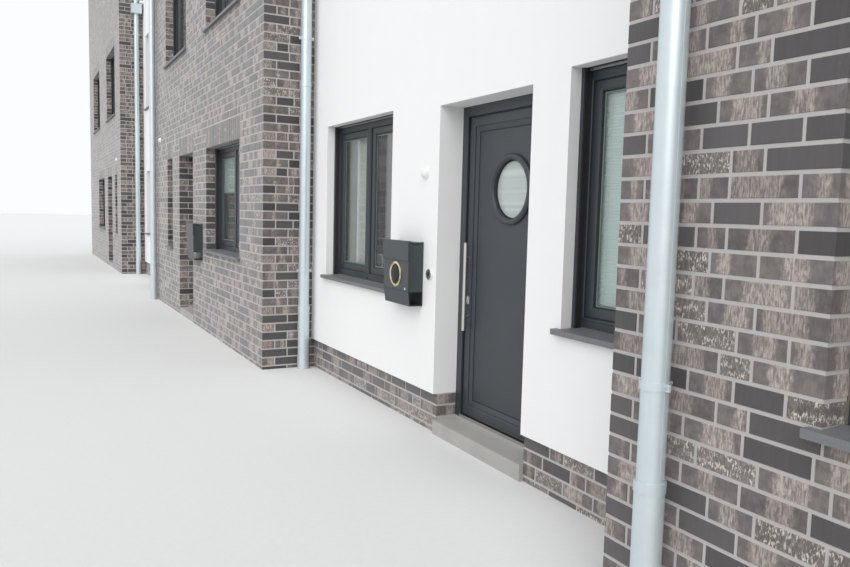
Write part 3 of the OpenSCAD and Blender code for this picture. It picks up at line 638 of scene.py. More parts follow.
CAD_FINISHES = {
    "mortar": ["party_walls", "brick_front_ground", "brick_front_first", "brick_front_second",
               "brick_rear_ground", "brick_rear_first", "brick_rear_second", "white_plinths"],
    "white_render": ["white_front_ground", "entrance_wall_left", "entrance_wall_right",
                     "white_front_upper", "white_rear_ground", "white_rear_upper"],
    "concrete": ["ground_slabs", "upper_floors", "door_steps"],
    "roof_gravel": ["flat_roofs"],
    "coping_metal": ["brick_copings", "white_copings"],
    "anthracite": ["front_frames_ground", "front_frames_upper", "rear_frames",
                   "closed_door_frames", "closed_doors", "entrance_door_frame",
                   "entrance_door_leaf", "entrance_door_ring"],
    "clear_glass": ["front_panes", "rear_panes"],
    "satin_glass": ["entrance_door_pane"],
    "sill_stone": ["front_sills", "rear_sills"],
    "stainless": ["thresholds", "entrance_hinge_posts", "entrance_hinge_wings",
                  "entrance_door_handles"],
    "zinc": ["front_downpipes", "side_downpipes"],
    "white_plastic": ["roof_spouts", "wall_fittings"],
    "box_coat": ["letter_box", "letter_box_flap", "neighbour_letter_box"],
    "chrome": ["letter_box_ring"],
}


# Meshes from arrays

# The radius of a ring that stands for a point on the axis
ON_AXIS = 1e-4


def linked(name, data):
    """A new object in the scene."""
    item = bpy.data.objects.new(name, data)
    bpy.context.scene.collection.objects.link(item)
    return item


def add_piece(name, points, faces, finish, slot, body=BODY, surface=None, marks=None,
              smooth=False):
    """Makes one object from points (n, 3) and quads or triangles (m, 4 or 3), in place."""
    points = np.asarray(points, np.float32).reshape(-1, 3)
    faces = np.asarray(faces, np.int32)
    mesh = bpy.data.meshes.new(name)
    mesh.vertices.add(len(points))
    mesh.vertices.foreach_set("co", points.ravel())
    mesh.loops.add(faces.size)
    mesh.loops.foreach_set("vertex_index", faces.ravel())
    mesh.polygons.add(len(faces))
    mesh.polygons.foreach_set("loop_start", np.arange(len(faces), dtype=np.int32)
                              * faces.shape[1])
    mesh.polygons.foreach_set("use_smooth", np.full(len(faces), smooth))
    if surface is not None:
        layer = mesh.uv_layers.new(name="surface")
        layer.data.foreach_set("uv", np.asarray(surface, np.float32).ravel())
    if marks is not None:
        layer = mesh.attributes.new("brick", "FLOAT_VECTOR", "POINT")
        layer.data.foreach_set("vector", np.asarray(marks, np.float32).ravel())
    mesh.update()
    mesh.validate()
    mesh.materials.append(finish_named(finish))
    piece = linked(name, mesh)
    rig.slot(piece, slot)
    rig.ride(piece, body)
    return piece


def gather(parts):
    """Joins (points, faces) pairs into one pair."""
    points, faces, start = [], [], 0
    for p, f in parts:
        points.append(p)
        faces.append(np.asarray(f) + start)
        start += len(p)
    return np.concatenate(points), np.concatenate(faces)


def boxes(low, high):
    """Closed boxes from (n, 3) low and high corners: each corner takes low or high per axis."""
    low, high = np.atleast_2d(low), np.atleast_2d(high)
    pick = np.array([[0, 0, 0], [1, 0, 0], [1, 1, 0], [0, 1, 0],
                     [0, 0, 1], [1, 0, 1], [1, 1, 1], [0, 1, 1]])
    points = low[:, None, :] + pick[None] * (high - low)[:, None, :]
    quads = np.array([[0, 3, 2, 1], [4, 5, 6, 7], [0, 1, 5, 4], [1, 2, 6, 5], [2, 3, 7, 6],
                      [3, 0, 4, 7]])
    faces = quads[None] + 8 * np.arange(len(low))[:, None, None]
    return points.reshape(-1, 3), faces.reshape(-1, 4)


def lathe(profile, centre, axis, turn_from, steps):
    """A closed surface of revolution: each (radius, height) of the profile turns round the axis.
    The profile's ends lie on the axis, as rings of nearly no radius closed by their fans."""
    profile = np.asarray(profile, float)
    angle = 2 * math.pi * np.arange(steps) / steps
    side = np.cross(axis, turn_from)
    ring = np.cos(angle)[:, None] * turn_from + np.sin(angle)[:, None] * side
    points = (centre + profile[:, 0, None, None] * ring[None]
              + profile[:, 1, None, None] * axis).reshape(-1, 3)
    row = np.arange(len(profile) - 1)[:, None] * steps
    a = row + np.arange(steps)
    b = row + (np.arange(steps) + 1) % steps
    faces = np.stack([a, b, b + steps, a + steps], -1).reshape(-1, 4)
    return points, faces


def mitred_frame(x0, x1, z0, z1, y, profile, face=-1.0):
    """A profile of (t, e) carried round a rectangle with mitred corners: t is the distance out
    of the rectangle and e the distance in front of the plane y, on the side that face says.
    The profile is a closed outline, so each corner's outline joins the next one's."""
    profile = np.asarray(profile, float)
    t, e = profile[:, 0], profile[:, 1]
    y_at = np.full_like(t, y) + face * e
    corners = [np.stack([xs, y_at, zs], -1) for xs, zs in
               ((x0 - t, z0 - t), (x1 + t, z0 - t), (x1 + t, z1 + t), (x0 - t, z1 + t))]
    points = np.concatenate(corners)
    n = len(profile)
    i, k = np.arange(n), np.arange(4)[:, None]
    a, b = k * n + i, k * n + (i + 1) % n
    c, d = (k + 1) % 4 * n + (i + 1) % n, (k + 1) % 4 * n + i
    quads = np.stack([a, b, c, d], -1).reshape(-1, 4)
    area = np.sum(t * np.roll(e, -1) - np.roll(t, -1) * e)
    return points, quads if area * face > 0 else quads[:, ::-1]


def tube(route, radius, steps):
    """A closed round tube along a few points, with a ring square to the path at each point."""
    route = np.asarray(route, float)
    along = np.gradient(route, axis=0)
    along /= np.linalg.norm(along, axis=1)[:, None]
    helper = np.where(np.abs(along[:, 2:3]) > 0.9, X[None], Z[None])
    side = np.cross(along, helper)
    side /= np.linalg.norm(side, axis=1)[:, None]
    over = np.cross(side, along)
    angle = 2 * math.pi * np.arange(steps) / steps
    rings = route[:, None] + radius * (np.cos(angle)[None, :, None] * side[:, None]
                                       + np.sin(angle)[None, :, None] * over[:, None])
    ends = route[[0, -1]]
    n = len(route)
    a = np.arange(n - 1)[:, None] * steps + np.arange(steps)
    b = np.arange(n - 1)[:, None] * steps + (np.arange(steps) + 1) % steps
    sides = np.stack([a, a + steps, b + steps, b], -1).reshape(-1, 4)
    i, j = np.arange(steps), (np.arange(steps) + 1) % steps
    first, last = n * steps, n * steps + 1
    caps = np.concatenate([
        np.stack([i, j, np.full(steps, first), np.full(steps, first)], -1),
        np.stack([j + (n - 1) * steps, i + (n - 1) * steps, np.full(steps, last),
                  np.full(steps, last)], -1)])
    return np.concatenate([rings.reshape(-1, 3), ends]), np.concatenate([sides, caps])


def bar(outline, x0, x1):
    """A closed bar along X. The outline, in (y, z), goes along one side and back along the
    other, so strips between its opposite points close both ends."""
    outline = np.asarray(outline, float)
    n = len(outline)
    points = np.concatenate([np.column_stack([np.full(n, x), outline]) for x in (x0, x1)])
    i = np.arange(n)
    j = (i + 1) % n
    sides = np.stack([i, j, j + n, i + n], -1)
    k = np.arange(n // 2 - 1)
    cap = np.stack([k, k + 1, n - 2 - k, n - 1 - k], -1)
    return outward(points, np.concatenate([sides, cap[:, ::-1], cap + n]))


def outward(points, faces):
    """Turns the faces of a closed, even surface so that its volume counts as positive."""
    a, b, c, d = (points[faces[:, i]] for i in range(4))
    volume = np.einsum("ni,ni->", a, np.cross(b, c)) + np.einsum("ni,ni->", a, np.cross(c, d))
    return points, faces if volume > 0 else faces[:, ::-1]


def disc(centre, axis, turn_from, radius, thick, edge=0.0, inner=0.0, steps=48):
    """A flat round plate standing on its centre along the axis, its rim rounded by edge; with
    an inner radius it is a ring."""
    core = inner or ON_AXIS
    rim = [(radius, thick - edge), (radius - edge, thick)] if edge else [(radius, thick)]
    profile = [(core, 0.0), (radius, 0.0), *rim, (core, thick), (core, 0.0)]
    return outward(*lathe(profile, centre, axis, turn_from, steps))


FOUND = {}


def solids(node):
    """Boxes (n, 2, 3) of the separate solids in a CAD node, found once."""
    if node not in FOUND:
        FOUND[node] = find_solids(node)
    return FOUND[node]


def find_solids(node):
    """Vertices in one place are one, and labels spread over the faces until each solid has a
    single one."""
    mesh = frame["nodes"][node].data
    co = np.zeros(len(mesh.vertices) * 3, np.float32)
    mesh.vertices.foreach_get("co", co)
    co = co.reshape(-1, 3)
    mesh.calc_loop_triangles()
    tri = np.zeros(len(mesh.loop_triangles) * 3, np.int32)
    mesh.loop_triangles.foreach_get("vertices", tri)
    _, same = np.unique(np.round(co * 1e4).astype(np.int64), axis=0, return_inverse=True)
    tri = same.ravel()[tri].reshape(-1, 3)
    label = np.arange(same.max() + 1)
    while True:
        low = label[tri].min(axis=1)
        new = label.copy()
        for corner in range(3):
            np.minimum.at(new, tri[:, corner], low)
        new = new[new]
        if np.array_equal(new, label):
            break
        label = new
    of_vertex = label[same.ravel()]
    parts = [co[of_vertex == one] for one in np.unique(of_vertex)]
    found = [(part.min(0), part.max(0)) for part in parts]
    return np.array(sorted(found, key=lambda box: (box[0][0], box[0][2], box[0][1])), float)


# Brickwork

# Brick lengths in quarters of a stretcher with its joint, and how often each is drawn
QUARTER, STRETCHER, HEADER = 0.0625, 4, 2
SHARES = {STRETCHER: 0.74, HEADER: 0.18, 3: 0.08}
# Runs of more quarters than these begin, or end as well, with a corner brick
FIRST_FROM, LAST_FROM = 5, 9
# Shares of the bricks that are smooth, and that are smooth or patched; the rest is scarred
SMOOTH, PATCHED = 0.24, 0.86
# A brick's depth in its mortar, the shortest and the lowest cut brick, the least of a course
# that shows, and the joint at a stone sill
EMBED, SHORTEST, LOWEST, SLIVER, SILL_JOINT = 0.006, 0.03, 0.015, 0.01, 0.006
# The top of the door steps, the joint over a plinth, how far a return runs on behind the
# render to the plinth, and the depth and height that a white parapet's coping takes
STEP_TOP, UNDER_RENDER, TO_PLINTH, COPING_DEPTH, COPING_HEIGHT = 0.10, 0.004, 0.028, 0.42, 0.03
# Places nearer than this are the same; a frame taller than this is a garden door's; a frame
# wider than this has two lights, and a door wider than this stands in a white house
TOUCH, GARDEN_DOOR, WIDE = 0.01, 1.9, 1.0


class Courses:
    """Collects bricks as rows of numbers and makes one mesh of them."""

    def __init__(self, seed):
        self.sizes = bpy.context.scene.house_row_bricks
        self.draw = np.random.default_rng(seed)
        self.rows = []

    def brick(self, origin, along, out, a, b, z0, z1, depth=EMBED, upright=False):
        """One brick from a to b along the wall and z0 to z1, with its marks: tone, half the
        width of its rough patch and a seed of its own."""
        kind, share = self.draw.random(), self.draw.uniform(0.3, 0.9)
        patch = 0.0 if kind < SMOOTH else (b - a) / 2 * share if kind < PATCHED else 1.0
        self.rows.append((*(origin + along * (a + b) / 2 + Z * (z0 + z1) / 2), *along, *out,
                          (b - a) / 2, (z1 - z0) / 2, depth, float(upright),
                          self.draw.random(), patch, self.draw.random()))

    def mesh(self, name, flat=False):
        """Each brick is a template of outlines: its back in the mortar, its shoulder unless it
        is flat, and its face, which is smaller by the chamfer."""
        size = self.sizes
        rows = np.array(self.rows)
        centre, along, out = rows[:, 0:3], rows[:, 3:6], rows[:, 6:9]
        half_l, half_h, depth, upright = rows[:, 9], rows[:, 10], rows[:, 11], rows[:, 12]
        corner = np.array([[-1, -1], [1, -1], [1, 1], [-1, 1]])
        levels = [(0.0, -depth), (1.0, np.full_like(depth, size.proud))]
        if not flat:
            levels.insert(1, (0.0, np.full_like(depth, size.proud - size.chamfer)))
        l, h, d = [], [], []
        for inset, level in levels:
            l.append(corner[:, 0] * (half_l - inset * size.chamfer)[:, None])
            h.append(corner[:, 1] * (half_h - inset * size.chamfer)[:, None])
            d.append(np.repeat(level[:, None], 4, 1))
        l, h, d = (np.concatenate(v, 1) for v in (l, h, d))
        points = (centre[:, None] + l[..., None] * along[:, None] + h[..., None] * Z
                  + d[..., None] * out[:, None])
        last = 4 * (len(levels) - 1)
        quads = [[3, 2, 1, 0], [last, last + 1, last + 2, last + 3]]
        for ring in range(0, last, 4):
            quads += [[ring + i, ring + (i + 1) % 4, ring + 4 + (i + 1) % 4, ring + 4 + i]
                      for i in range(4)]
        quads = np.array(quads)
        turned = np.einsum("ni,ni->n", np.cross(along, Z), out) < 0
        faces = np.where(turned[:, None, None], quads[None, :, ::-1], quads[None])
        per_corner = faces.reshape(len(rows), -1)
        pick = np.arange(len(rows))[:, None]
        ul, uh, ud = l[pick, per_corner], h[pick, per_corner], d[pick, per_corner]
        side, ends = np.zeros((2, len(quads)), bool)
        side[[2, 4]] = ends[[3, 5]] = True
        side, ends = np.repeat(side, 4)[None], np.repeat(ends, 4)[None]
        middle = depth[:, None] / 2
        u = np.where(ends, ud + middle, ul)
        v = np.where(side, ud + middle, uh)
        stand = upright[:, None] > 0.5
        surface = np.stack([np.where(stand, v, u), np.where(stand, u, v)], -1)
        marks = np.repeat(rows[:, None, 13:16], l.shape[1], 1)
        faces = faces + l.shape[1] * np.arange(len(rows))[:, None, None]
        return add_piece(name, points, faces.reshape(-1, 4), "brick", "brickwork",
                         surface=surface.reshape(-1, 2), marks=marks.reshape(-1, 3))


def bond(courses, units, first, last, taken):
    """Draws brick lengths in quarter units that fill a run, with its end bricks given, and
    keeps the draw whose upright joints fall least often on those of the course below."""
    best, best_hits = None, None
    for _ in range(12):
        lengths = [first] if first else []
        end = last or 0
        while True:
            left = units - sum(lengths) - end
            if left <= 0:
                break
            choices = [n for n in SHARES if n <= left and left - n != 1]
            if not choices:
                lengths.append(left)
                break
            if left in choices:
                choices = [left]
            shares = np.array([SHARES[n] for n in choices])
            lengths.append(int(courses.draw.choice(choices, p=shares / shares.sum())))
        if last:
            lengths.append(last)
        joints = np.cumsum(lengths)[:-1]
        hits = sum(1 for j in joints if j in taken)
        if best is None or hits < best_hits:
            best, best_hits = lengths, hits
        if not hits:
            break
    return best


PLAIN, JAMB, CORNER = range(3)


class Hole:
    """What a wall leaves open under its upright bricks: a window or a doorway, whether it has
    a stone sill, and the way in which the bricks beside it turn inwards."""

    def __init__(self, u0, u1, z0, z1, sill=False, jamb=JAMB):
        self.u0, self.u1, self.z0, self.z1 = u0, u1, z0, z1
        self.sill, self.jamb = sill, jamb

    def meets(self, z0, middle, z1, rise):
        """Whether a course lies beside the opening, its upright bricks or its sill."""
        return self.z0 < middle < self.z1 + rise or self.at_sill(z0, z1)

    def at_sill(self, z0, z1):
        return self.sill and z0 < self.z0 < z1


def lay_wall(courses, origin, along, out, length, z_low, z_high, holes=(),
             corners=(PLAIN, PLAIN), start=None, stop=None):
    """Lays one wall face in wild bond. A window's jamb shows the width of a brick; at corners and
    doorways stretchers and headers alternate. start and stop give, for each course, what the
    corner bricks of the neighbouring faces have already filled."""
    size = courses.sizes
    rise = 3 * size.course
    below = {}
    count = int(math.ceil((z_high - size.first_bed) / size.course))
    for k in range(-1, count):
        bed = size.first_bed + k * size.course
        z0, z1 = bed + (size.course - size.height) / 2, bed + (size.course + size.height) / 2
        middle = bed + size.course / 2
        if z1 < z_low + SLIVER or z0 > z_high - SLIVER:
            continue
        z0, z1 = max(z0, z_low), min(z1, z_high)
        odd = k % 2
        corner = HEADER if odd else STRETCHER
        depths = {PLAIN: EMBED, JAMB: size.width, CORNER: size.length if odd else size.width}
        here = sorted((h for h in holes if h.meets(z0, middle, z1, rise)), key=lambda h: h.u0)
        runs, at, left = [], start(odd) if start else 0.0, corners[0]
        for h in here:
            end = h.jamb if middle < h.z1 else PLAIN
            runs.append((at, h.u0, left, end, z1))
            at, left = h.u1, end
            runs.append((h.u0 + size.joint, h.u1 - size.joint, PLAIN, PLAIN,
                         h.z0 - SILL_JOINT if h.at_sill(z0, z1) else z0))
        runs.append((at, length - (stop(odd) if stop else 0.0), left, corners[1], z1))
        for a, b, left, right, top in runs:
            if b - a < SHORTEST or top - z0 < LOWEST:
                continue
            units = max(1, round((b - a + size.joint) / QUARTER))
            unit = (b - a + size.joint) / units
            first = corner if left and units > FIRST_FROM else None
            last = corner if right and units > LAST_FROM else None
            key = round(a, 3)
            lengths = bond(courses, units, first, last, below.get(key, ()))
            below[key] = set(np.cumsum(lengths)[:-1])
            u = a
            for i, n in enumerate(lengths):
                v = u + n * unit - size.joint
                ends = [left if i == 0 else PLAIN, right if i == len(lengths) - 1 else PLAIN]
                low = u - (size.proud if ends[0] else 0.0)
                high = v + (size.proud if ends[1] else 0.0)
                courses.brick(origin, along, out, low, high, z0, top,
                              max(depths[end] for end in ends))
                u += n * unit
    for h in holes:
        lay_soldiers(courses, origin, along, out, h)


def lay_soldiers(courses, origin, along, out, hole):
    """Bricks standing upright over an opening, as deep as a header."""
    size = courses.sizes
    count = max(1, round((hole.u1 - hole.u0 + size.joint) / size.course))
    pitch = (hole.u1 - hole.u0 + size.joint) / count
    for i in range(count):
        a = hole.u0 + i * pitch
        courses.brick(origin, along, out, a, a + pitch - size.joint, hole.z1 - size.proud,
                      hole.z1 + size.length, size.width, upright=True)


def brick_houses():
    """(x0, x1, front y, rear y, top) of each brick house, from the wall nodes."""
    fronts, tops = solids("brick_front_ground"), solids("brick_front_second")
    rears = solids("brick_rear_ground")
    return [(f[0][0], f[1][0], f[0][1], r[1][1], t[1][2])
            for f, r, t in zip(fronts, rears, tops)]


def white_houses():
    """(x0, x1, front y, rear y, top) of each white house."""
    fronts, rears = solids("white_front_upper"), solids("white_rear_upper")
    return [(f[0][0], f[1][0], f[0][1], r[1][1], f[1][2]) for f, r in zip(fronts, rears)]


def front_openings():
    """Boxes of all window frames and door frames on the street side, then on the rear."""
    front = np.concatenate([solids("front_frames_ground"), solids("front_frames_upper")])
    doors = np.concatenate([solids("closed_door_frames"), solids("entrance_door_frame")])
    return front, doors, solids("rear_frames")


def inside(x0, x1, found):
    """Those boxes that lie between two places on X."""
    return [(low, high) for low, high in found if low[0] > x0 and high[0] < x1]


def house_holes(x0, x1, rear):
    """Openings of one brick wall in its own coordinates, which run from its left end."""
    frames, doors, rear_frames = front_openings()
    found = []
    for low, high in inside(x0, x1, rear_frames if rear else frames):
        u = (x1 - high[0], x1 - low[0]) if rear else (low[0] - x0, high[0] - x0)
        found.append(Hole(*u, low[2], high[2], sill=high[2] - low[2] <= GARDEN_DOOR))
    for low, high in () if rear else inside(x0, x1, doors):
        found.append(Hole(low[0] - x0, high[0] - x0, -1.0, high[2], jamb=CORNER))
    return found


def corner_return(courses):
    """How much of a return face a corner brick has filled, by the course's parity."""
    size = courses.sizes
    return lambda odd: (size.length if odd else size.width) + size.joint


def lay_street_walls(rear):
    """The street or garden faces of the brick houses with their corners and openings."""
    courses = Courses(SEED + (1 if rear else 0))
    for x0, x1, front, back, top in brick_houses():
        origin, along, out = (X * x1 + Y * back, -X, Y) if rear else (X * x0 + Y * front, X, -Y)
        lay_wall(courses, origin, along, out, x1 - x0, 0.0, top, house_holes(x0, x1, rear),
                 (CORNER, CORNER))
    return courses.mesh("garden_bricks" if rear else "street_bricks")


def lay_returns():
    """Short brick faces from the brick corners to the white walls, down to their plinths."""
    courses = Courses(SEED + 2)
    for wx0, wx1, front, back, _ in white_houses():
        for x0, x1, brick_front, brick_back, top in brick_houses():
            for x, side in ((x1, X), (x0, -X)):
                if min(abs(x - wx0), abs(x - wx1)) > TOUCH:
                    continue
                for face_y, wall_y, way in ((brick_front, front, Y), (brick_back, back, -Y)):
                    lay_wall(courses, X * x + Y * face_y, way, side,
                             abs(wall_y - face_y) + TO_PLINTH, 0.0, top,
                             start=corner_return(courses))
    return courses.mesh("return_bricks")


def lay_gables():
    """The plain end walls, and the sides that rise over the white roofs."""
    gables, sides = Courses(SEED + 3), Courses(SEED + 4)
    houses, white = brick_houses(), white_houses()
    roof = min(box[1][2] for box in solids("flat_roofs"))
    ends = (min(h[0] for h in houses), max(h[1] for h in houses))
    for x0, x1, front, back, top in houses:
        for x, side in ((x0, -X), (x1, X)):
            if x in ends:
                lay_wall(gables, X * x + Y * front, Y, side, back - front, 0.0, top,
                         start=corner_return(gables), stop=corner_return(gables))
                continue
            near = min(white, key=lambda w: min(abs(w[0] - x), abs(w[1] - x)))
            long, split = near[3] - near[2], near[4] + COPING_HEIGHT
            lay_wall(sides, X * x + Y * near[2], Y, side, long, split, top)
            lay_wall(sides, X * x + Y * (near[2] + COPING_DEPTH), Y, side,
                     long - 2 * COPING_DEPTH, roof, split)
    gables.mesh("gable_bricks", flat=True)
    sides.mesh("upper_side_bricks", flat=True)


def lay_niches():
    """The side faces of the door niches behind the corner bricks."""
    courses = Courses(SEED + 5)
    _, doors, _ = front_openings()
    for x0, x1, front, _, _ in brick_houses():
        for low, high in inside(x0, x1, doors):
            for x, side in ((low[0], X), (high[0], -X)):
                lay_wall(courses, X * x + Y * front, Y, side, low[1] - front, STEP_TOP,
                         high[2], start=corner_return(courses))
    return courses.mesh("niche_bricks")


def lay_plinths():
    """The brick base of the white houses, which stands back under the render and turns into
    their doorways."""
    courses = Courses(SEED + 6)
    _, doors, _ = front_openings()
    for low, high in solids("white_plinths"):
        rear = low[1] > 0
        y, out = (high[1], Y) if rear else (low[1], -Y)
        origin, along = (X * high[0], -X) if rear else (X * low[0], X)
        top = high[2] - UNDER_RENDER
        lay_wall(courses, origin + Y * y, along, out, high[0] - low[0], 0.0, top)
        for door_low, door_high in doors:
            for x, side in ((door_low[0], X), (door_high[0], -X)):
                if not rear and min(abs(low[0] - x), abs(high[0] - x)) < TOUCH:
                    lay_wall(courses, X * x + Y * y, Y, side, door_low[1] - y, STEP_TOP, top)
    return courses.mesh("plinth_bricks")


# Windows: profiles as (distance out of a light, distance in front of the frame's face)

RIB = [(0.0020, -0.0020), (0.0020, 0.0010), (0.0050, 0.0030), (0.0125, 0.0030), (0.0155, 0.0010),
       (0.0155, -0.0020)]
CASEMENT = [(-0.0055, -0.0130), (-0.0055, -0.0100), (-0.0085, -0.0080), (-0.0330, -0.0080),
            (-0.0500, -0.0098), (-0.0570, -0.0125), (-0.0605, -0.0235), (-0.0605, -0.0253),
            (-0.0560, -0.0253), (-0.0560, -0.0130)]
CASEMENT_SEAL = [(-0.0045, -0.0130), (-0.0045, -0.0100), (0.0, -0.0090), (0.0, -0.0130)]
GLAZING_GASKET = [(-0.0640, -0.0256), (-0.0640, -0.0242), (-0.0625, -0.0236), (-0.0600, -0.0236),
                  (-0.0600, -0.0256)]
SPACER = [(-0.0750, -0.0258), (-0.0750, -0.0252), (-0.0640, -0.0252), (-0.0640, -0.0258)]
# Frames farther from the row's middle line than this stand in brick walls
BRICK_FACE = 4.9
# Handles: from the casement's edge, behind the frame's face, over the ground on ground floors,
# whose frames begin below the last height
HANDLE_IN, HANDLE_BACK, HANDLE_Z, GROUND_FLOOR = 0.040, 0.075, 1.18, 1.5
# One fold of the curtain, and the distance of its middle plane behind the frame's face
FOLD, CURTAIN_BACK = 0.072, 0.112


class Window:
    """A window frame of the CAD: its face, its visible foot and its lights, which are the outer
    edges of its casements."""

    def __init__(self, low, high):
        g = self.sizes = bpy.context.scene.house_row_glazing
        self.face = -1.0 if low[1] < 0 else 1.0
        self.plane = low[1] + g.rail_out if self.face < 0 else high[1] - g.rail_out
        self.x0, self.x1, self.z0, self.z1 = low[0], high[0], low[2], high[2]
        self.garden = self.z1 - self.z0 > GARDEN_DOOR
        hidden = 0.0 if self.garden else g.sill
        self.foot = self.z0 if self.garden else self.z0 + hidden + SILL_JOINT
        self.in_brick = abs(self.plane) > BRICK_FACE
        count = 2 if self.x1 - self.x0 > WIDE else 1
        wide = (self.x1 - self.x0 - 2 * g.fixed - (count - 1) * g.post) / count
        self.lights = [(x, x + wide, self.z0 + hidden + g.head, self.z1 - g.head)
                       for x in (self.x0 + g.fixed + k * (wide + g.post) for k in range(count))]

    def block(self, x0, x1, e0, e1, z0, z1):
        """A box between two distances in front of the frame's face."""
        ya, yb = sorted((self.plane + self.face * e0, self.plane + self.face * e1))
        return boxes((x0, ya, z0), (x1, yb, z1))

    def framed(self, light, profile):
        return mitred_frame(*light, self.plane, profile, self.face)

    def glass(self, light):
        """The clear part of a light: (x0, x1, z0, z1)."""
        c = self.sizes.casement
        return light[0] + c, light[1] - c, light[2] + c, light[3] - c


def all_windows():
    front, _, rear = front_openings()
    return [Window(low, high) for low, high in [*front, *rear]]


def window_at(x, z):
    """The street window whose opening holds that place."""
    for w in all_windows():
        if w.face < 0 and w.x0 < x < w.x1 and w.z0 < z < w.z1:
            return w
    raise RuntimeError(f"no street window at {x}, {z}")


def dress_frames():
    """Beads, coated casement profiles, seals, gaskets and spacer bars of all windows."""
    windows = all_windows()
    for name, profile, finish, slot in (
            ("frame_ribs", RIB, "anthracite", "anthracite_frames"),
            ("casement_profiles", CASEMENT, "anthracite", "anthracite_frames"),
            ("casement_seals", CASEMENT_SEAL, "rubber", "anthracite_frames"),
            ("glazing_gaskets", GLAZING_GASKET, "rubber", "anthracite_frames"),
            ("pane_spacers", SPACER, "spacer", "window_glass")):
        found = []
        for w in windows:
            found += [w.framed(light, profile) for light in w.lights]
            for left, right in zip(w.lights, w.lights[1:]) if profile is RIB else ():
                middle = (left[1] + right[0]) / 2
                found.append(w.block(middle - 0.0165, middle + 0.0165, -0.001, 0.003, left[2],
                                     left[3]))
        add_piece(name, *gather(found), finish, slot)


def dress_shutters():
    """Dark strips of painted shade in the slots of the guide rails and under the heads, the end bars that hang in
    those, the drain caps and the joint filler at the frames' feet and beside the rails."""
    slots, bars, caps, filler = [], [], [], []
    for w in all_windows():
        r = w.sizes.rail
        a, b = w.x0 + r, w.x1 - r
        # The slots are dark boxes of painted shade where the rails and the head leave a gap.
        for x in (a - 0.0005, b - 0.0008):
            slots.append(w.block(x, x + 0.0013, 0.012, 0.040, w.foot, w.z1 - 0.01))
        slots.append(w.block(a, b, -0.001, 0.036, w.z1 - 0.004, w.z1 + 0.001))
        bars.append(w.block(a + 0.002, b - 0.002, 0.010, 0.020, w.z1 - 0.016, w.z1 - 0.004))
        middle = (w.x0 + w.x1) / 2
        if not w.garden:
            caps.append(w.block(middle - 0.0125, middle + 0.0125, -0.001, 0.004, w.foot + 0.014,
                                w.foot + 0.028))
        filler.append(w.block(a, b, -0.001, 0.0018, w.foot - 0.001, w.foot + 0.0035))
        if w.in_brick:
            for x in (w.x0 + 0.003, w.x1 - 0.009):
                filler.append(w.block(x, x + 0.006, 0.048, 0.0515, w.foot, w.z1 - 0.001))
    add_piece("shutter_slots", *gather(slots), "rubber", "anthracite_frames")
    add_piece("shutter_end_bars", *gather(bars), "aluminium", "stainless")
    add_piece("drain_caps", *gather(caps), "rubber", "anthracite_frames")
    add_piece("joint_filler", *gather(filler), "sealant", "brickwork")


def dress_handles():
    """A white lever inside each casement, half way up: a round rose, a neck and a grip that
    hangs straight down and curves a little towards the room."""
    found = []
    for w in all_windows():
        for k, light in enumerate(w.lights):
            at_left = k or len(w.lights) == 1
            x = light[0] + HANDLE_IN if at_left else light[1] - HANDLE_IN
            z = HANDLE_Z if w.z0 < GROUND_FLOOR else (light[2] + light[3]) / 2
            into = -w.face * Y
            at = X * x + Y * w.plane + into * HANDLE_BACK + Z * z
            found.append(disc(at, into, X, 0.016, 0.010, 0.002, steps=20))
            route = [at + into * d + Z * h for d, h in
                     ((0.006, 0.0), (0.038, 0.0), (0.046, -0.008), (0.048, -0.05),
                      (0.046, -0.09), (0.040, -0.125))]
            found.append(outward(*tube(route, 0.0085, 10)))
    add_piece("window_handles", *gather(found), "white_plastic", "white_fittings", smooth=True)


def slats(w, area, low, high):
    """The slats of a blind behind a pane, closed: each is a shallow arc of 18 mm that laps over
    the next; two cords run down in front of them."""
    found = []
    arc = np.array([(0.0, 0.0), (0.0022, 0.0045), (0.0030, 0.0089), (0.0022, 0.0133),
                    (0.0, 0.0178)])
    back = arc[::-1] - np.array([0.0006, 0.0])
    ring = np.concatenate([arc, back])
    for foot in np.arange(low, high - 0.012, w.sizes.slat_pitch):
        outline = np.column_stack([w.plane + w.face * (ring[:, 0] - 0.058), foot + ring[:, 1]])
        found.append(bar(outline, area[0] - 0.003, area[1] + 0.003))
    cords = [w.block(x, x + 0.0016, -0.0548, -0.0535, low, high)
             for x in (area[0] + 0.05, area[1] - 0.05)]
    return found, cords


def hang_blinds():
    """The small window of the entrance house has its blind down, and the middle house's large
    window has it half down."""
    found, cords, rails = [], [], []
    for x, z, stop in ((8.24, 1.6, None), (2.3, 1.6, 1.741)):
        w = window_at(x, z)
        for light in w.lights:
            area = w.glass(light)
            low = stop or area[2] - 0.004
            one, two = slats(w, area, low, area[3])
            found, cords = found + one, cords + two
            if stop:
                rails.append(w.block(area[0] - 0.003, area[1] + 0.003, -0.063, -0.052,
                                     low - 0.016, low))
    add_piece("blind_slats", *gather(found), "blind_slat", "white_fittings")
    add_piece("blind_cords", *gather(cords), "white_plastic", "white_fittings")
    add_piece("blind_foot_rails", *gather(rails), "aluminium", "stainless")


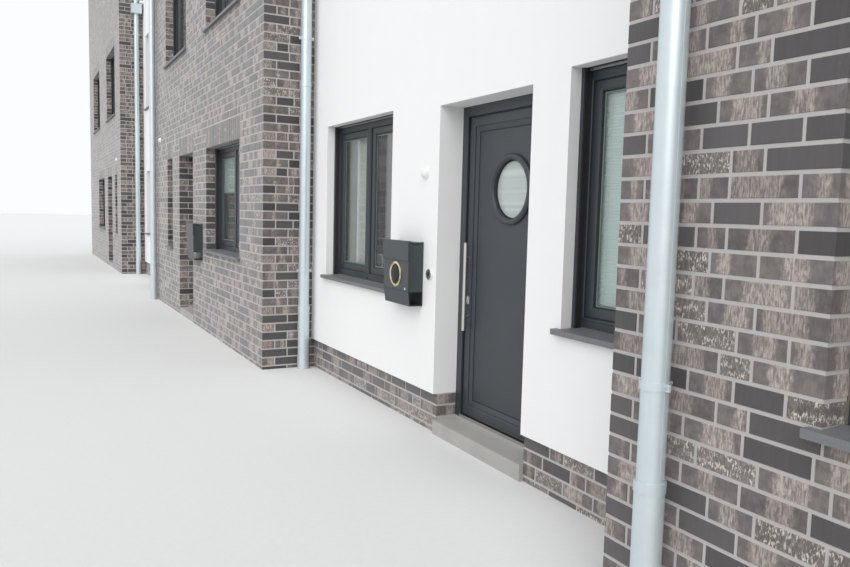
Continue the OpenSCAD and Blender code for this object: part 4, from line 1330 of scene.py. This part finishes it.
def hang_curtain():
    """A voile panel behind the left light of the entrance house's large window, on a thin rod.
    Its folds are y = d sin(2 pi x / FOLD + 0.7 sin(1.9 x / FOLD)), where d grows from 9 mm at
    the top to 14 mm at the foot."""
    w = window_at(5.0, 1.6)
    x0, x1, z0, z1 = w.glass(w.lights[0])
    start, end, top, foot = x0 + 0.24 * (x1 - x0), x1 + 0.02, z1 + 0.012, z0 - 0.02
    behind = w.plane - w.face * CURTAIN_BACK
    rod = tube([X * x + Y * behind + Z * (top - 0.004) for x in
                np.linspace(start - 0.02, end + 0.02, 6)], 0.004, 12)
    rod_piece = add_piece("curtain_rod", *outward(*rod), "aluminium", "stainless", smooth=True)
    across, down = 180, 24
    x = np.linspace(start, end, across)
    fall = np.linspace(0.0, 1.0, down)
    deep = (0.009 + 0.005 * fall)[:, None]
    y = behind + deep * np.sin(2 * math.pi * x / FOLD + 0.7 * np.sin(1.9 * x / FOLD))[None]
    z = top + (foot - top) * fall
    length = np.hypot(np.diff(x)[None], np.diff(y, axis=1)).sum(axis=1)
    run = np.concatenate([[0.0], np.cumsum(np.hypot(np.diff(x), np.diff(y[0])))])
    slope = np.gradient(y, x, axis=1)
    norm = np.stack([-slope, np.ones_like(slope)], -1) / np.hypot(slope, 1.0)[..., None]
    half = 0.00025
    points = np.concatenate([
        np.stack([x[None] + norm[..., 0] * side, y + norm[..., 1] * side,
                  np.broadcast_to(z[:, None], y.shape)], -1).reshape(-1, 3)
        for side in (half, -half)])
    n = across * down
    i = (np.arange(down - 1)[:, None] * across + np.arange(across - 1)).ravel()
    front = np.stack([i, i + 1, i + 1 + across, i + across], -1)
    rim = np.concatenate([np.arange(across), np.arange(1, down) * across + across - 1,
                          np.arange(across - 2, -1, -1) + (down - 1) * across,
                          np.arange(down - 2, 0, -1) * across])
    nxt = np.roll(rim, -1)
    edge = np.stack([rim, rim + n, nxt + n, nxt], -1)
    points, faces = outward(points, np.concatenate([front, front[:, ::-1] + n, edge]))
    flat_u = np.tile(np.tile(run, down), 2)
    flat_v = np.tile(np.repeat(top - z, across), 2)
    surface = np.stack([flat_u[faces], flat_v[faces]], -1).reshape(-1, 2)
    piece = add_piece("curtain", points, faces, "curtain_cloth", "white_fittings",
                      surface=surface, smooth=True)
    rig.sheet(piece, flat=(float(length.mean()), float(top - foot)), held="hung",
             rests_on=[rod_piece.name])


# Doors: profiles as (distance out of the panel, distance in front of the leaf or the panel)

STILE = [(0.0010, -0.0030), (0.0010, 0.0020), (0.0060, 0.0048), (0.0150, 0.0055),
         (0.0520, 0.0055), (0.0610, 0.0048), (0.0660, 0.0020), (0.0660, -0.0030)]
PANEL_BEVEL = [(-0.0345, -0.0010), (-0.0345, 0.0030), (-0.0300, 0.0046), (-0.0040, 0.0122),
               (-0.0002, 0.0122), (-0.0002, -0.0010)]
# The dark line round the panel is a rubber gasket together with painted shade in the step from stile to panel.
PANEL_LINE = [(-0.0405, -0.0010), (-0.0400, 0.0012), (-0.0375, 0.0018), (-0.0350, 0.0012),
              (-0.0347, -0.0010)]
# Distances behind the frame's front of the leaf, its panel, the clear and the milky panes
LEAF_BACK, PANEL_BACK, PANE_BACK, BLIND_BACK = 0.018, 0.033, 0.0485, 0.043
# The round pane's middle from the frame's left and head, and the pane's radius
RING_X, RING_DOWN, PORTHOLE_R = 0.563, 0.567, 0.187
# What the panel leaves free at the left, right, foot and head of the frame
PANEL_EDGES = (0.142, 0.139, 0.103, 0.139)
# A door in a niche is narrower, so its ring stands this much further left
NICHE_SHIFT = 0.045
# The lock from the frame's left edge, behind its face and over its foot
LOCK_PLACE = (0.118, 0.0062, 0.829)


def dress_doors():
    """Rounded stiles, the sloping edge and dark line round the panel and the round pane's gasket
    on all five doors; milky panes in the four that are shut for good; a lock in the entrance
    door's rose."""
    _, doors, _ = front_openings()
    entrance = solids("entrance_door_frame")[0]
    sets = {"": ([], [], [], [], []), "entrance_": ([], [], [], [], [])}
    for low, high in doors:
        opens = abs(low[0] - entrance[0][0]) < TOUCH
        stiles, bevels, lines, gaskets, panes = sets["entrance_" if opens else ""]
        x0, x1, z0, z1, y = low[0], high[0], low[2], high[2], low[1]
        left, right, foot, head = PANEL_EDGES
        panel = (x0 + left, x1 - right, z0 + foot, z1 - head)
        stiles.append(mitred_frame(*panel, y + LEAF_BACK, STILE))
        bevels.append(mitred_frame(*panel, y + PANEL_BACK, PANEL_BEVEL))
        lines.append(mitred_frame(*panel, y + PANEL_BACK, PANEL_LINE))
        middle = x0 + RING_X - (0.0 if x1 - x0 > WIDE else NICHE_SHIFT)
        back = PANE_BACK if opens else BLIND_BACK
        at = X * middle + Y * (y + back) + Z * (z1 - RING_DOWN)
        gaskets.append(disc(at, -Y, X, PORTHOLE_R, 0.004, 0.002, 0.180, 64))
        if not opens:
            panes.append(disc(at + Y * 0.001, -Y, X, PORTHOLE_R - 0.002, 0.003, steps=64))
    for name, (*framing, panes) in sets.items():
        body = DOOR_BODY if name else BODY
        for parts, piece, finish in zip(
                framing, ("door_stiles", "panel_bevels", "panel_lines", "pane_gaskets"),
                ("anthracite", "anthracite", "rubber", "rubber")):
            add_piece(name + piece, *gather(parts), finish, "anthracite_frames", body)
        if panes:
            add_piece("blind_door_panes", *gather(panes), "satin_glass", "window_glass", body)
    rose = entrance[0] + np.array(LOCK_PLACE)
    add_piece("door_lock", *disc(rose, -Y, X, 0.0085, 0.003, 0.0008, steps=28), "stainless",
              "stainless", DOOR_BODY)
    # The keyhole is a dark box of painted shade on the lock's face.
    key = rose - Y * 0.003
    add_piece("door_keyhole", *boxes(key - X * 0.0011 - Y * 0.0006 - Z * 0.0045,
                                     key + X * 0.0011 + Y * 0.0004 + Z * 0.0045),
              "rubber", "stainless", DOOR_BODY)


# Letter boxes, bell and lamps

# A box from its lid's top to its foot, its lid's height and the width of its ring
BOX_HEIGHT, LID_HEIGHT, RING_WIDTH = 0.466, 0.143, 0.022
# A wall fitting less high than this is the bell, and the others are dome lamps
BELL_HEIGHT = 0.078


def dress_letter_boxes():
    """Dark strips of painted shade in the gap under each lid and in the crease over the newspaper slot, the white lock
    cap with its key slot as a dark box of painted shade, and the lens in the ring."""
    gaps, creases, caps, keys = [], [], [], []
    for node in ("letter_box_flap", "neighbour_letter_box"):
        found = solids(node)
        low, high = found[:, 0].min(0), found[:, 1].max(0)
        x0, x1, top = low[0], high[0], high[2]
        front, foot, rim = low[1] + 0.008, top - BOX_HEIGHT, top - LID_HEIGHT
        # Painted shade: a dark strip in the gap under the lid.
        gaps.append(boxes((x0 + 0.009, front - 0.0008, rim - 0.004),
                          (x1 - 0.009, front + 0.001, rim + 0.012)))
        # Painted shade: a dark line in the crease over the newspaper slot.
        creases.append(boxes((x0 + 0.008, front - 0.0009, foot + 0.1030),
                             (x1 - 0.008, front + 0.001, foot + 0.1052)))
        lock = X * (x1 - 0.050) + Y * (front - 0.004) + Z * (foot + 0.122)
        caps.append(disc(lock, -Y, X, 0.0092, 0.0016, 0.0006, steps=24))
        # Painted shade: the key slot is a dark box.
        keys.append(boxes(lock - X * 0.0008 - Y * 0.0020 - Z * 0.004,
                          lock + X * 0.0008 - Y * 0.0012 + Z * 0.004))
    add_piece("letter_box_gaps", *gather(gaps), "rubber", "letter_box_steel")
    add_piece("letter_box_creases", *gather(creases), "rubber", "letter_box_steel")
    add_piece("letter_box_lock_caps", *gather(caps), "white_plastic", "white_fittings")
    add_piece("letter_box_keyholes", *gather(keys), "rubber", "stainless")
    ring_low, ring_high = solids("letter_box_ring")[0]
    middle = (ring_low + ring_high) / 2
    at = X * middle[0] + Y * (ring_high[1] + 0.0006) + Z * middle[2]
    radius = (ring_high[0] - ring_low[0]) / 2 - RING_WIDTH
    curve = [(radius * math.cos(a), 0.0015 + 0.0055 * math.sin(a))
             for a in np.linspace(0, 1.55, 10)]
    dome = [(ON_AXIS, 0.0), (radius, 0.0), *curve, (ON_AXIS, 0.0070), (ON_AXIS, 0.0)]
    add_piece("letter_box_lens", *outward(*lathe(dome, at, -Y, X, 48)), "lens",
              "letter_box_steel", smooth=True)


def dress_fittings():
    """A rim and a button on the bell, and a base plate and a bead under each dome lamp."""
    bells, buttons, plates = [], [], []
    for low, high in solids("wall_fittings"):
        middle = (low + high) / 2
        at = X * middle[0] + Z * middle[2]
        if high[2] - low[2] < BELL_HEIGHT:
            bells.append(disc(at + Y * (low[1] + 0.001), -Y, X, 0.0375, 0.0030, 0.0018, 0.013))
            buttons.append(disc(at + Y * (low[1] + 0.001), -Y, X, 0.0125, 0.0035, 0.0010))
        else:
            plates.append(disc(at + Y * high[1], -Y, X, 0.045, 0.006, 0.002))
            plates.append(disc(at + Y * (high[1] - 0.006), -Y, X, 0.0425, 0.004, 0.0015, 0.037))
    add_piece("bell_rim", *gather(bells), "stainless", "stainless")
    add_piece("bell_button", *gather(buttons), "lens", "stainless")
    add_piece("lamp_bases", *gather(plates), "white_plastic", "white_fittings")


# Pipes and roofs

# A downpipe's middle from its wall, its lowest clamp and the height from clamp to clamp
PIPE_OUT, CLAMP_FIRST, CLAMP_PITCH = 0.080, 0.967, 2.2
# Heights of the spigot joints, the outline of a joint's bead, and the top of the stand pipe
JOINTS = (2.717, 5.45)
JOINT_BEAD = [(0.0495, 0.0), (0.0528, 0.001), (0.0536, 0.006), (0.0528, 0.011),
              (0.0522, 0.0400), (0.0495, 0.042), (0.0495, 0.0)]
STAND_PIPE = 0.625
# Width of a brick house's coping, and the length, pitch and thickness of its joint covers
COPING_WIDTH, COVER_LENGTH, COVER_PITCH, COVER_THICK = 0.46, 0.06, 2.4, 0.0012


def dress_pipes():
    """On each downpipe: the bead of a spigot joint every 2.7 m or so, the lugs of its clamps
    with their bolts, and a seam down one side."""
    rings, lugs, bolts, seams = [], [], [], []
    for node in ("front_downpipes", "side_downpipes"):
        for low, high in solids(node):
            if high[2] - low[2] < 3.0:
                continue
            if node == "side_downpipes":
                wall_out, cx, cy = X, low[0] + PIPE_OUT, (low[1] + high[1]) / 2
            else:
                wall_out, cx, cy = -Y, (low[0] + high[0]) / 2, high[1] - PIPE_OUT
            centre = X * cx + Y * cy
            across = np.cross(Z, wall_out)
            for z in JOINTS:
                if z < high[2] - 0.6:
                    rings.append(outward(*lathe(JOINT_BEAD, centre + Z * z, Z, X, 48)))
            for z in np.arange(CLAMP_FIRST, high[2] - 0.55, CLAMP_PITCH):
                for s in (-1, 1):
                    lug = centre + across * s * 0.062 + Z * z + wall_out * 0.002
                    size = np.abs(across) * 0.011 + np.abs(wall_out) * 0.004 + Z * 0.013
                    lugs.append(boxes(lug - size, lug + size))
                    for way, thick in ((wall_out, 0.0045), (-wall_out, 0.0060)):
                        bolts.append(disc(lug + way * 0.004, way, Z, 0.0052, thick, 0.0010,
                                          steps=6))
            seam = centre + across * 0.0497
            half = np.abs(across) * 0.0012 + np.abs(wall_out) * 0.004
            seams.append(boxes(seam - half + Z * STAND_PIPE,
                               seam + half + Z * (high[2] - 0.35)))
    add_piece("pipe_joint_rings", *gather(rings), "zinc", "zinc_pipe")
    add_piece("pipe_clamp_lugs", *gather(lugs), "zinc", "zinc_pipe")
    add_piece("pipe_clamp_bolts", *gather(bolts), "stainless", "stainless")
    add_piece("pipe_seams", *gather(seams), "zinc", "zinc_pipe")


def dress_copings():
    """Joint covers over the front and rear copings of all houses."""
    found = []
    for low, high in solids("brick_copings"):
        found += coping_joints(low, np.array([high[0], low[1] + COPING_WIDTH, high[2]]), 0)
        found += coping_joints(np.array([low[0], high[1] - COPING_WIDTH, low[2]]), high, 0)
    for low, high in solids("white_copings"):
        found += coping_joints(low, high, 0 if high[0] - low[0] > high[1] - low[1] else 1)
    add_piece("coping_joint_covers", *gather(found), "coping_metal", "coping_metal")


def coping_joints(low, high, axis):
    """Covers across one straight coping that runs along an axis: each is a plate on its top
    and one that turns down over the side towards the street or the left."""
    length = high[axis] - low[axis]
    count = max(1, int(round(length / COVER_PITCH)) - 1)
    across = 1 - axis
    found = []
    for at in low[axis] + length * (np.arange(count) + 1) / (count + 1):
        lo, hi = low.copy(), high.copy()
        lo[axis], hi[axis] = at - COVER_LENGTH / 2, at + COVER_LENGTH / 2
        hi[2] = high[2] + COVER_THICK
        plate_low, edge_low, edge_high = lo.copy(), lo.copy(), hi.copy()
        plate_low[2] = high[2] - 0.0004
        edge_low[across], edge_high[across] = low[across] - COVER_THICK, low[across] + 0.0004
        found += [boxes(plate_low, hi), boxes(edge_low, edge_high)]
    return found


# Operators

class Builder:
    """What all the operators share."""
    bl_options = {"REGISTER", "UNDO"}


class HOUSEROW_OT_finish_cad(Builder, bpy.types.Operator):
    """Gives each piece of the frame its material"""
    bl_idname = "house_row.finish_cad"
    bl_label = "Finish the frame"

    def execute(self, context):
        for finish, nodes in CAD_FINISHES.items():
            for node in nodes:
                mesh = frame["nodes"][node].data
                mesh.materials.clear()
                mesh.materials.append(finish_named(finish))
        left = set(frame["nodes"]) - {n for nodes in CAD_FINISHES.values() for n in nodes}
        if left:
            raise RuntimeError(f"no finish for {sorted(left)}")
        return {"FINISHED"}


class HOUSEROW_OT_lay_bricks(Builder, bpy.types.Operator):
    """Lays every brick of the street, garden, return, gable and plinth faces"""
    bl_idname = "house_row.lay_bricks"
    bl_label = "Lay the bricks"

    def execute(self, context):
        lay_street_walls(rear=False)
        lay_street_walls(rear=True)
        lay_returns()
        lay_gables()
        lay_niches()
        lay_plinths()
        return {"FINISHED"}


class HOUSEROW_OT_dress_windows(Builder, bpy.types.Operator):
    """Adds the profiles, seals, shutter parts and handles of the windows"""
    bl_idname = "house_row.dress_windows"
    bl_label = "Dress the windows"

    def execute(self, context):
        dress_frames()
        dress_shutters()
        dress_handles()
        return {"FINISHED"}


class HOUSEROW_OT_hang_blinds(Builder, bpy.types.Operator):
    """Hangs the blinds and the curtain behind their panes"""
    bl_idname = "house_row.hang_blinds"
    bl_label = "Hang blinds and curtain"

    def execute(self, context):
        hang_blinds()
        hang_curtain()
        return {"FINISHED"}


class HOUSEROW_OT_dress_doors(Builder, bpy.types.Operator):
    """Adds the stiles, gaskets, panes and the lock of the doors"""
    bl_idname = "house_row.dress_doors"
    bl_label = "Dress the doors"

    def execute(self, context):
        dress_doors()
        return {"FINISHED"}


class HOUSEROW_OT_dress_fittings(Builder, bpy.types.Operator):
    """Adds the small parts of the letter boxes, the bell and the lamps"""
    bl_idname = "house_row.dress_fittings"
    bl_label = "Dress letter boxes, bell and lamps"

    def execute(self, context):
        dress_letter_boxes()
        dress_fittings()
        return {"FINISHED"}


class HOUSEROW_OT_dress_metalwork(Builder, bpy.types.Operator):
    """Adds the joints and clamps of the pipes and the joint covers of the copings"""
    bl_idname = "house_row.dress_metalwork"
    bl_label = "Dress pipes and copings"

    def execute(self, context):
        dress_pipes()
        dress_copings()
        return {"FINISHED"}


class HOUSEROW_OT_set_stage(Builder, bpy.types.Operator):
    """Adds the pale floor, the soft light and the camera"""
    bl_idname = "house_row.set_stage"
    bl_label = "Set the stage"

    def execute(self, context):
        stage = context.scene.house_row_stage
        self.floor()
        self.light(stage)
        self.camera(stage)
        context.scene.view_settings.view_transform = "Standard"
        return {"FINISHED"}

    def floor(self):
        half, level = 120.0, -0.0005
        mesh = bpy.data.meshes.new("floor")
        mesh.from_pydata([(-half, -half, level), (half, -half, level), (half, half, level),
                          (-half, half, level)], [], [(0, 1, 2, 3)])
        s = Shader("floor", roughness=0.9)
        fine = s.noise(s.place(), 30.0, 3.0)
        s.set("Base Color", s.tint((0.74, 0.74, 0.73), 0.97 + fine * 0.06))
        mesh.materials.append(s.material)
        floor = linked("floor", mesh)
        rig.stage(floor)

    def light(self, stage):
        """An even sky, which is white to the camera, in reflections and through glass, and a
        broad soft sun from the street side."""
        world = bpy.data.worlds.new("sky")
        bpy.context.scene.world = world
        world.use_nodes = True
        nodes, links = world.node_tree.nodes, world.node_tree.links
        sky = nodes["Background"]
        sky.inputs["Color"].default_value = (0.93, 0.96, 1.0, 1.0)
        sky.inputs["Strength"].default_value = stage.sky
        seen = nodes.new("ShaderNodeBackground")
        seen.inputs["Color"].default_value = (0.97, 0.98, 1.0, 1.0)
        seen.inputs["Strength"].default_value = 1.0
        path = nodes.new("ShaderNodeLightPath")
        mix = nodes.new("ShaderNodeMixShader")
        direct = path.outputs["Is Camera Ray"]
        for ray in ("Is Glossy Ray", "Is Transmission Ray"):
            either = nodes.new("ShaderNodeMath")
            either.operation = "MAXIMUM"
            links.new(direct, either.inputs[0])
            links.new(path.outputs[ray], either.inputs[1])
            direct = either.outputs[0]
        links.new(direct, mix.inputs[0])
        links.new(sky.outputs[0], mix.inputs[1])
        links.new(seen.outputs[0], mix.inputs[2])
        links.new(mix.outputs[0], nodes["World Output"].inputs["Surface"])
        lamp = bpy.data.lights.new("sun", "SUN")
        lamp.energy = stage.sun
        lamp.angle = math.radians(60)
        lamp.color = (1.0, 0.985, 0.96)
        linked("sun", lamp).rotation_euler = (math.radians(52), 0.0, math.radians(50))

    def camera(self, stage):
        """Forward is -X turned towards the wall and dipped; roll turns right and up round it."""
        yaw, dip, roll = (math.radians(v) for v in (stage.heading, stage.dip, stage.roll))
        forward = np.array([-math.cos(yaw) * math.cos(dip), math.sin(yaw) * math.cos(dip),
                            -math.sin(dip)])
        right = np.cross(forward, Z)
        right /= np.linalg.norm(right)
        up = np.cross(right, forward)
        right, up = (math.cos(roll) * right + math.sin(roll) * up,
                     -math.sin(roll) * right + math.cos(roll) * up)
        data = bpy.data.cameras.new("camera")
        data.sensor_width = 36.0
        data.lens = stage.focal * data.sensor_width / PICTURE_WIDTH
        data.clip_start, data.clip_end = 0.05, 400.0
        camera = linked("camera", data)
        turn = np.stack([right, up, -forward], 1)
        camera.matrix_world = Matrix.Translation(stage.eye) @ Matrix(turn.tolist()).to_4x4()
        bpy.context.scene.camera = camera


class HOUSEROW_PT_panel(bpy.types.Panel):
    """Offers the row's steps and settings in the sidebar"""
    bl_idname = "HOUSEROW_PT_panel"
    bl_label = "House row"
    bl_space_type = "VIEW_3D"
    bl_region_type = "UI"
    bl_category = "House row"

    def draw(self, context):
        for operator in OPERATORS:
            self.layout.operator(operator.bl_idname)
        for group in GROUPS:
            settings = getattr(context.scene, group)
            column = self.layout.column()
            for name in settings.bl_rna.properties.keys():
                if name not in {"name", "rna_type"}:
                    column.prop(settings, name)


GROUPS = {
    "house_row_bricks": BrickSizes,
    "house_row_glazing": GlazingSizes,
    "house_row_finishes": Finishes,
    "house_row_stage": StageSettings,
}
OPERATORS = [HOUSEROW_OT_finish_cad, HOUSEROW_OT_lay_bricks, HOUSEROW_OT_dress_windows,
             HOUSEROW_OT_hang_blinds, HOUSEROW_OT_dress_doors, HOUSEROW_OT_dress_fittings,
             HOUSEROW_OT_dress_metalwork, HOUSEROW_OT_set_stage]


def register():
    for group, kind in GROUPS.items():
        bpy.utils.register_class(kind)
        setattr(bpy.types.Scene, group, bpy.props.PointerProperty(type=kind))
    for kind in [*OPERATORS, HOUSEROW_PT_panel]:
        bpy.utils.register_class(kind)


def unregister():
    for kind in reversed([*OPERATORS, HOUSEROW_PT_panel]):
        bpy.utils.unregister_class(kind)
    for group, kind in GROUPS.items():
        delattr(bpy.types.Scene, group)
        bpy.utils.unregister_class(kind)


def main():
    register()
    for operator in OPERATORS:
        category, name = operator.bl_idname.split(".")
        getattr(getattr(bpy.ops, category), name)()
    sizes = {"cad": [list(v) for v in CAD_BOX], "visual": [list(v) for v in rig.bounds()]}
    with open("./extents.json", "w") as file:
        json.dump(sizes, file)


if __name__ == "__main__":
    main()
